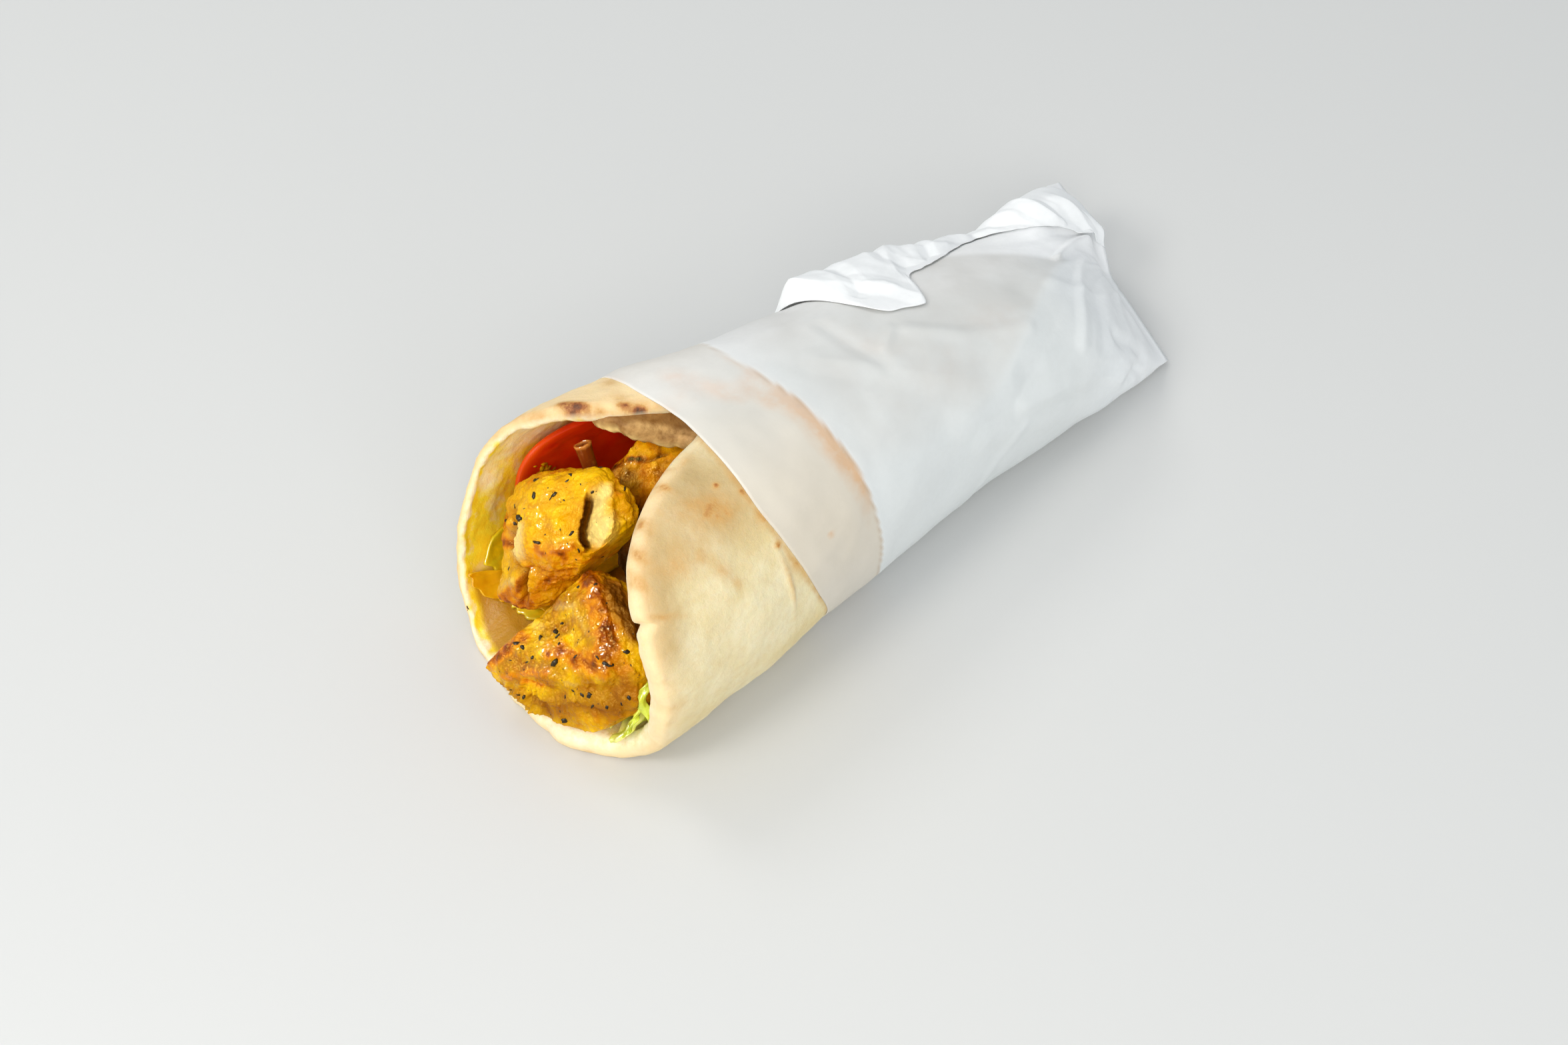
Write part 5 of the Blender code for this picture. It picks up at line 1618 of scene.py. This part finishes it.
HERB = herb_finish("dried herb", (0.018, 0.010, 0.003), (0.060, 0.040, 0.006))
PEPPER = herb_finish("cracked pepper", (0.030, 0.014, 0.006), (0.16, 0.07, 0.01))
drop_flakes("herbs_upper", upper_piece, UPPER_HERBS, 12, ((-13, 13), (-8, 20)), (0.25, 0.5),
            HERB, 0.50, 81)
drop_flakes("herbs_lower", lower_piece, LOWER_HERBS, 16, ((-14, 16), (-33, -2)), (0.25, 0.5),
            HERB, 0.50, 82)
drop_flakes("pepper_upper", upper_piece, (), 40, ((-14, 14), (-11, 21)), (0.15, 0.35),
            PEPPER, 0.50, 83)
drop_flakes("pepper_lower", lower_piece, (), 60, ((-16, 17), (-35, 0)), (0.15, 0.4),
            PEPPER, 0.50, 84)
print("finishes of the herbs:", HERB.name, "and", PEPPER.name)

# %% [markdown]
# ## The tomato
#
# A slice of ripe tomato stands against the far wall. Its flesh is a deep, wet red that glows
# orange where light falls through it, and that glow is painted along the rim on its lit front.
# The slice is a flat disc laid on the roll's own surface, so it bends with the bread.

# %% Lay the tomato
TOMATO_THICK = 3.0 * MM
TOMATO_X, TOMATO_REACH_X = -46.0, 23.5              # in mm
TOMATO_ANGLE, TOMATO_REACH_ANGLE = 269.0, 31.0      # in degrees


def wall_depth(x, angle):
    """Depth of the bread's inner wall."""
    return bread_depth(x, angle) + bread_thickness(angle)


tomato = chunk_ball(200, 60)
ball = points_of(tomato)
flat = np.clip(np.hypot(ball[:, 0], ball[:, 1]), 1e-9, 1)
spread_out = flat ** 0.55 / flat
rise = np.sign(ball[:, 2]) * np.abs(ball[:, 2]) ** 0.60
x = (TOMATO_X + TOMATO_REACH_X * ball[:, 0] * spread_out) * MM
angle = TOMATO_ANGLE + TOMATO_REACH_ANGLE * ball[:, 1] * spread_out
juicy = uneven(skin(x, angle), (6 * MM, 91, 0.35), (2 * MM, 92, 0.10))
depth = wall_depth(x, angle) + LEAF_THICK + 2.6 * GAP
depth = depth + TOMATO_THICK * (1 - rise) / 2 + juicy * MM * ramp(-rise, 0, 1)
move_points(tomato, layer(x, angle, depth))
# painted light: an orange glow along the rim on the lit front
lit_rim_glow = ramp(flat, 0.80, 1.0) * ramp(-x / MM, 52, 66) * 0.9
print("tomato is", float((np.ptp(x) / MM).round(0)), "mm across")

# %% Finish of the tomato
def tomato_finish():
    """Wet red flesh, with a painted orange glow along the cut rim at the lit front."""
    material, tree, shader = new_finish("tomato flesh")
    fibres = grain(tree, 420, 3.0, 0.6, ((0, 0.5, 0), (0.3, 1.0, 1.0)))
    feed(tree, shader, {
        "Base Color": paint(tree, (0.78, 0.036, 0.001), (
            (grain(tree, 120, 3.0, 0.5), 0.35, 0.65, 1.0, (0.60, 0.010, 0.001)),
            (fibres, 0.55, 0.8, 0.4, (0.74, 0.08, 0.002)),
            (mark(tree, "rim"), 0.0, 1.0, 1.0, (0.70, 0.075, 0.002)),
        )),
        "Roughness": 0.36,
        "Specular IOR Level": 0.25,
        "Subsurface Weight": 0.25,
        "Subsurface Radius": (1.0, 0.22, 0.05),
        "Subsurface Scale": 3.0 * MM,
        "Coat Weight": 0.15,
        "Coat Roughness": 0.12,
    })
    roughen(tree, shader, ((fibres, 0.3 * MM, 0.25),))
    return material


tomato_piece = add_piece(
    "tomato_slice", tomato, tomato_finish(), "tomato", {"rim": lit_rim_glow}
)
print("lit share of the tomato's rim:", float((lit_rim_glow > 0.3).mean().round(2)))

# %% [markdown]
# ## Onion and lettuce
#
# A short tube of onion stands between the chunk and the tomato, and a petal of onion lies low on
# the far wall. They are wet and half clear, so they take on the colour of what is behind them.
# The leaves are thin, wavy and veined.
#
# The tube is a cone with open ends, nearly smooth and a little wider at its rim. The leaves are
# slabs like the bread, only much thinner, with a ruffle that grows towards their free edge.

# %% Onion tube
ONION_RADIUS, ONION_WALL, ONION_LENGTH = 1.85 * MM, 0.6 * MM, 9.0 * MM

tube = open_tube(64, 40, ONION_RADIUS * 0.9, ONION_RADIUS, ONION_LENGTH)
places = points_of(tube)
around = np.arctan2(places[:, 1], places[:, 0])
height = places[:, 2] / ONION_LENGTH + 0.5
ribs = 1 + 0.008 * np.sin(around * 11) + 0.03 * np.sin(around * 2 + 1)
ribs = ribs + 0.02 * wobble(places, 2.5 * MM, 95)
places[:, :2] *= (ribs * (0.93 + 0.16 * height ** 6))[:, None]
places[:, 2] += ramp(height, 0.8, 1.0) * wobble(places, 1.2 * MM, 96) * 0.2 * MM
move_points(tube, places)
down = MOUTH_RIGHT * 0.31 - MOUTH_UP * 0.90 - MOUTH_OUT * 0.34
turn = (-down).to_track_quat("Z", "Y").to_matrix().to_4x4()
centre = from_mouth(3.25, 26.0, 0) + down * (ONION_LENGTH / 2)
bmesh.ops.transform(tube, matrix=Matrix.Translation(centre) @ turn, verts=tube.verts[:])
print("onion tube is", ONION_LENGTH / MM, "mm long")

# %% Finish of the onion
def onion_finish(name, clear, deep, mark_name=None):
    """Wet onion: pale where it is thick or lit, warm where the filling shows through."""
    material, tree, shader = new_finish(name)
    ribs = grain(tree, 700, 2.0, 0.5, ((0.4, 0.9, 0.3), (1.0, 0.25, 1.0)))
    share = mark(tree, mark_name) if mark_name else spread(tree, grain(tree, 260), 0.3, 0.7)
    feed(tree, shader, {
        "Base Color": paint(tree, deep, (
            (share, 0.0, 1.0, 1.0, clear),
            (ribs, 0.55, 0.8, 0.35, clear),
        )),
        "Roughness": 0.25,
        "Subsurface Weight": 0.35,
        "Subsurface Radius": (1.0, 0.7, 0.35),
        "Subsurface Scale": 1.5 * MM,
        "Coat Weight": 0.35,
        "Coat Roughness": 0.08,
    })
    roughen(tree, shader, ((ribs, 0.2 * MM, 0.3),))
    return material


ONION_TUBE = onion_finish("onion tube", (0.66, 0.25, 0.04), (0.20, 0.030, 0.001), "lit")
ONION_PETAL = onion_finish("onion petal", (0.92, 0.50, 0.006), (0.76, 0.34, 0.001))
tube_piece = add_piece("onion_tube_piece", tube, ONION_TUBE, "onion_tube",
                       {"lit": ramp(height, 0.90, 0.99) + 0.35 * hump(around, -0.6, 0.7)})
thin_wall(tube_piece, ONION_WALL)
print("its wall is", ONION_WALL / MM, "mm thick")

# %% Finish of the lettuce
def lettuce_finish(name, leaf, rib):
    """Fresh lettuce with pale veins."""
    material, tree, shader = new_finish(name)
    crinkle = grain(tree, 420, 4.0, 0.6)
    feed(tree, shader, {
        "Base Color": paint(tree, leaf, (
            (crinkle, 0.3, 0.7, 1.0, [c * 0.62 for c in leaf]),
            (mark(tree, "vein"), 0.1, 0.9, 0.8, rib),
            (mark(tree, "rim"), 0.2, 1.0, 0.5, rib),
        )),
        "Roughness": 0.34,
        "Subsurface Weight": 0.25,
        "Subsurface Radius": (0.6, 1.0, 0.2),
        "Subsurface Scale": 1.0 * MM,
        "Coat Weight": 0.2,
        "Coat Roughness": 0.15,
    })
    roughen(tree, shader, ((crinkle, 0.4 * MM, 0.5),))
    return material


SHADED_LEAF = lettuce_finish("lettuce in yellow light", (1.0, 0.66, 0.003), (0.80, 0.62, 0.01))
BRIGHT_LEAF = lettuce_finish("lettuce", (0.74, 0.82, 0.06), (0.97, 0.97, 0.30))
print("finishes of the lettuce:", SHADED_LEAF.name, "and", BRIGHT_LEAF.name)

# %% Leaves and petal
LEFT_LEAF = (   # angles, then the front edge and the back edge as angle and x in mm
    (206, 254), ((206, -77), (216, -79.5), (238, -79), (248, -81), (254, -77)),
    ((206, -42), (254, -42)),
)
PETAL = (
    (206, 250), ((206, -75), (218, -77.6), (226, -80.0), (235, -84.0), (241, -85.8), (250, -86.6)),
    ((206, -71), (237, -75.0), (241, -78.6), (245, -81.6), (250, -85.8)),
)
RIGHT_LEAF = (
    (112, 148), ((112, -79), (118, -84), (126, -86.5), (132, -80), (138, -84), (148, -74)),
    ((112, -40), (148, -40)),
)
LEAVES = (   # name, outline, lift, ruffle, thickness, finish, slot, seed
    ("leaf_left", LEFT_LEAF, 0.0, 0.0, LEAF_THICK, SHADED_LEAF, "lettuce_left", 101),
    ("leaf_right", RIGHT_LEAF, 0.0, 2.5 * MM, LEAF_THICK, BRIGHT_LEAF, "lettuce_right", 104),
    ("onion_petal_piece", PETAL, LEAF_THICK + GAP / 2, 0.0, PETAL_THICK / 2, ONION_PETAL,
     "onion_petal", 107),
)


def leaf_piece(name, outline, lift, ruffle, thick, material, slot, seed):
    """A thin wavy piece on the bread's inner wall."""
    angles, front_edge, back_edge = outline
    leaf = flat_slab(64, 80, 0)
    u, v, w = points_of(leaf).T
    angle = angles[0] + (angles[1] - angles[0]) * u
    edge_points = np.stack((angle * MM_PER_DEGREE, angle * 0, angle * 0), -1)
    start = smooth_through(front_edge, angle) * MM + wobble(edge_points, 1.6, seed) * 1.2 * MM
    x = start + (smooth_through(back_edge, angle) * MM - start) * v
    on_skin = skin(x, angle)
    free = (1 - v) ** 2
    waves = 0.5 + 0.5 * np.sin(u * 9 + 2) * np.cos(v * 11)
    waves = waves + wobble(on_skin, 3 * MM, seed + 1) * 0.5
    veins = np.abs(np.sin((u * 5.5 + v * 1.2) * math.pi)) ** 10
    depth = wall_depth(x, angle) + 0.6 * GAP + lift * ramp(x / MM, -83, -79)
    depth = depth + (ruffle * waves * free + 0.10 * MM * veins) + thick * w
    depth = depth + wobble(on_skin, 2 * MM, seed + 2) * 0.18 * MM * free
    move_points(leaf, layer(x, angle, depth))
    return add_piece(name, leaf, material, slot, {"vein": veins, "rim": hump(v, 0, 0.06)})


for row in LEAVES:
    leaf_piece(*row)
print("leaves and petal are laid:", len(LEAVES))

# %% [markdown]
# Two shreds of the lettuce curl out beside the lower chunk. Each is a narrow slab that follows a
# short path in the mouth, with its two sides ruffled unlike each other.

# %% Curl two shreds of lettuce
SHREDS = (   # right, up and out in mm along each path
    ((17.6, -22.6, 22.4), (15.8, -25.0, 23.6), (15.4, -27.6, 23.2), (16.6, -30.2, 21.4),
     (17.6, -32.4, 19.5)),
    ((15.6, -28.2, 21.4), (14.4, -30.4, 19.6), (13.4, -32.6, 18.0), (12.0, -35.0, 17.4)),
)
SHRED_WIDE, SHRED_NARROWS, SHRED_THICK = 2.9, 1.4, 0.55     # in mm


def along_path(path, at):
    """Points on a smooth path, at places from 0 to 1 along it."""
    rows = np.column_stack((np.linspace(0, 1, len(path)), path))
    return np.stack([smooth_through(rows, at, column) for column in (1, 2, 3)], -1)


shreds = bmesh.new()
for number, path in enumerate(SHREDS):
    shred = flat_slab(14, 60, 0)
    u, v, w = points_of(shred).T
    side = (u - 0.5) * (SHRED_WIDE - SHRED_NARROWS * v)
    ruffles = np.sin(v * 17 + number * 2 + u * 2.4) * 0.55 * (0.3 + np.abs(u - 0.5) * 2)
    out = ruffles - (u - 0.5) ** 2 * 2.4 - w * SHRED_THICK
    bend = np.stack((side * 0.86 + ruffles * 0.3, side * 0.42, out), -1)
    move_points(shred, many_from_mouth(along_path(path, v) + bend))
    part = bpy.data.meshes.new("shred")
    shred.to_mesh(part)
    shreds.from_mesh(part)
    shred.free()
    bpy.data.meshes.remove(part)
add_piece("lettuce_shreds", shreds, BRIGHT_LEAF)
print("shreds:", len(SHREDS))

# %% [markdown]
# Last come the crumbs: meat that broke off and sticks to the tomato, and one charred crumb on the
# outer rim of the bread.

# %% Drop the crumbs
MEAT_CRUMBS = 22
CHARRED_CRUMB = ((0.0, 1.9), (0.8, 1.3))        # height and size in mm

draw = random.Random(7)
meat_crumbs = [
    (draw.gauss(-5.0, 1.1), draw.gauss(20.4, 1.2), draw.uniform(1.0, 2.3))
    for _ in range(MEAT_CRUMBS)
]
drop_flakes("crumbs_on_tomato", tomato_piece, meat_crumbs, 0, None, None,
            SHADED_CHICKEN, 0.8, 85)
charred = bmesh.new()
rim_place = Vector(layer(np.array([-87.0 * MM]), np.array([236.0]), np.array([0.7 * MM]))[0])
rim_faces = Vector((-0.8, 0.5, 0.1))
for step, size in CHARRED_CRUMB:
    flake_on(charred, rim_place + Vector((0, 0, step * MM)), rim_faces, size * MM, 0.6, draw)
add_piece("charred_crumb", charred, PEPPER)
print("crumbs:", len(meat_crumbs))

# %% [markdown]
# ## The floor and the light
#
# The picture is bright and airy: strong soft light from all round, a little blue, and a warmer
# light from the upper left that makes the shadow on the right. A plain pale floor carries the
# shadow. One square lamp stands for the window. Three more fill in from the mouth's side, from
# low in front and from behind, and the world gives the soft rest. A fifth lamp is seen only in
# highlights, where it makes the small white glints on the wet meat.

# %% Lay the floor
FLOOR_REACH = 2.5           # in metres

floor_mesh = bmesh.new()
bmesh.ops.create_grid(floor_mesh, x_segments=1, y_segments=1, size=FLOOR_REACH)
floor_data = bpy.data.meshes.new("floor")
floor_mesh.to_mesh(floor_data)
floor_mesh.free()
floor_paint, floor_tree, floor_shader = new_finish("pale floor")
feed(floor_tree, floor_shader, {"Base Color": colour(0.64, 0.645, 0.64), "Roughness": 0.6})
floor_data.materials.append(floor_paint)
floor = bpy.data.objects.new("floor", floor_data)
bpy.context.scene.collection.objects.link(floor)
print("the floor reaches", FLOOR_REACH, "m to each side")

# %% Light the wrap
LAMP_DISTANCE = 1.2
LAMPS = (   # name, direction, size in m, brightness, tone, lights surfaces, makes highlights
    ("window light", (-0.72, -0.05, 0.69), 0.28, 0.28, (1.0, 0.965, 0.90), True, False),
    ("light into the mouth", (-0.56, -0.56, 0.61), 0.40, 0.32, (1.0, 0.97, 0.92), True, False),
    ("low near light", (-0.25, -0.88, 0.38), 0.60, 0.16, (0.98, 0.99, 1.0), True, False),
    ("light from behind", (-0.10, 0.60, 0.80), 0.40, 0.16, (1.0, 0.97, 0.92), True, False),
    ("glints", (-0.75, 0.15, 0.80), 0.16, 2.20, (1.0, 1.0, 1.0), False, True),
)
WORLD_TONE, WORLD_STRENGTH = colour(0.93, 0.97, 1.0), 0.64


def add_lamp(name, direction, size, brightness, tone, surfaces, highlights):
    """A square lamp at the lamps' distance. A brightness of 1 shows white paper as white."""
    direction = Vector(direction).normalized()
    data = bpy.data.lights.new(name, "AREA")
    data.energy = brightness * math.pi ** 2 * LAMP_DISTANCE ** 2
    data.size = size
    data.color = tone
    lamp = bpy.data.objects.new(name, data)
    lamp.location = direction * LAMP_DISTANCE
    lamp.rotation_euler = direction.to_track_quat("Z", "Y").to_euler()
    lamp.visible_diffuse = surfaces
    lamp.visible_glossy = highlights
    bpy.context.scene.collection.objects.link(lamp)


for row in LAMPS:
    add_lamp(*row)
world = bpy.data.worlds.new("soft light")
world.use_nodes = True
sky = world.node_tree.nodes["Background"]
sky.inputs["Color"].default_value = WORLD_TONE
sky.inputs["Strength"].default_value = WORLD_STRENGTH
bpy.context.scene.world = world
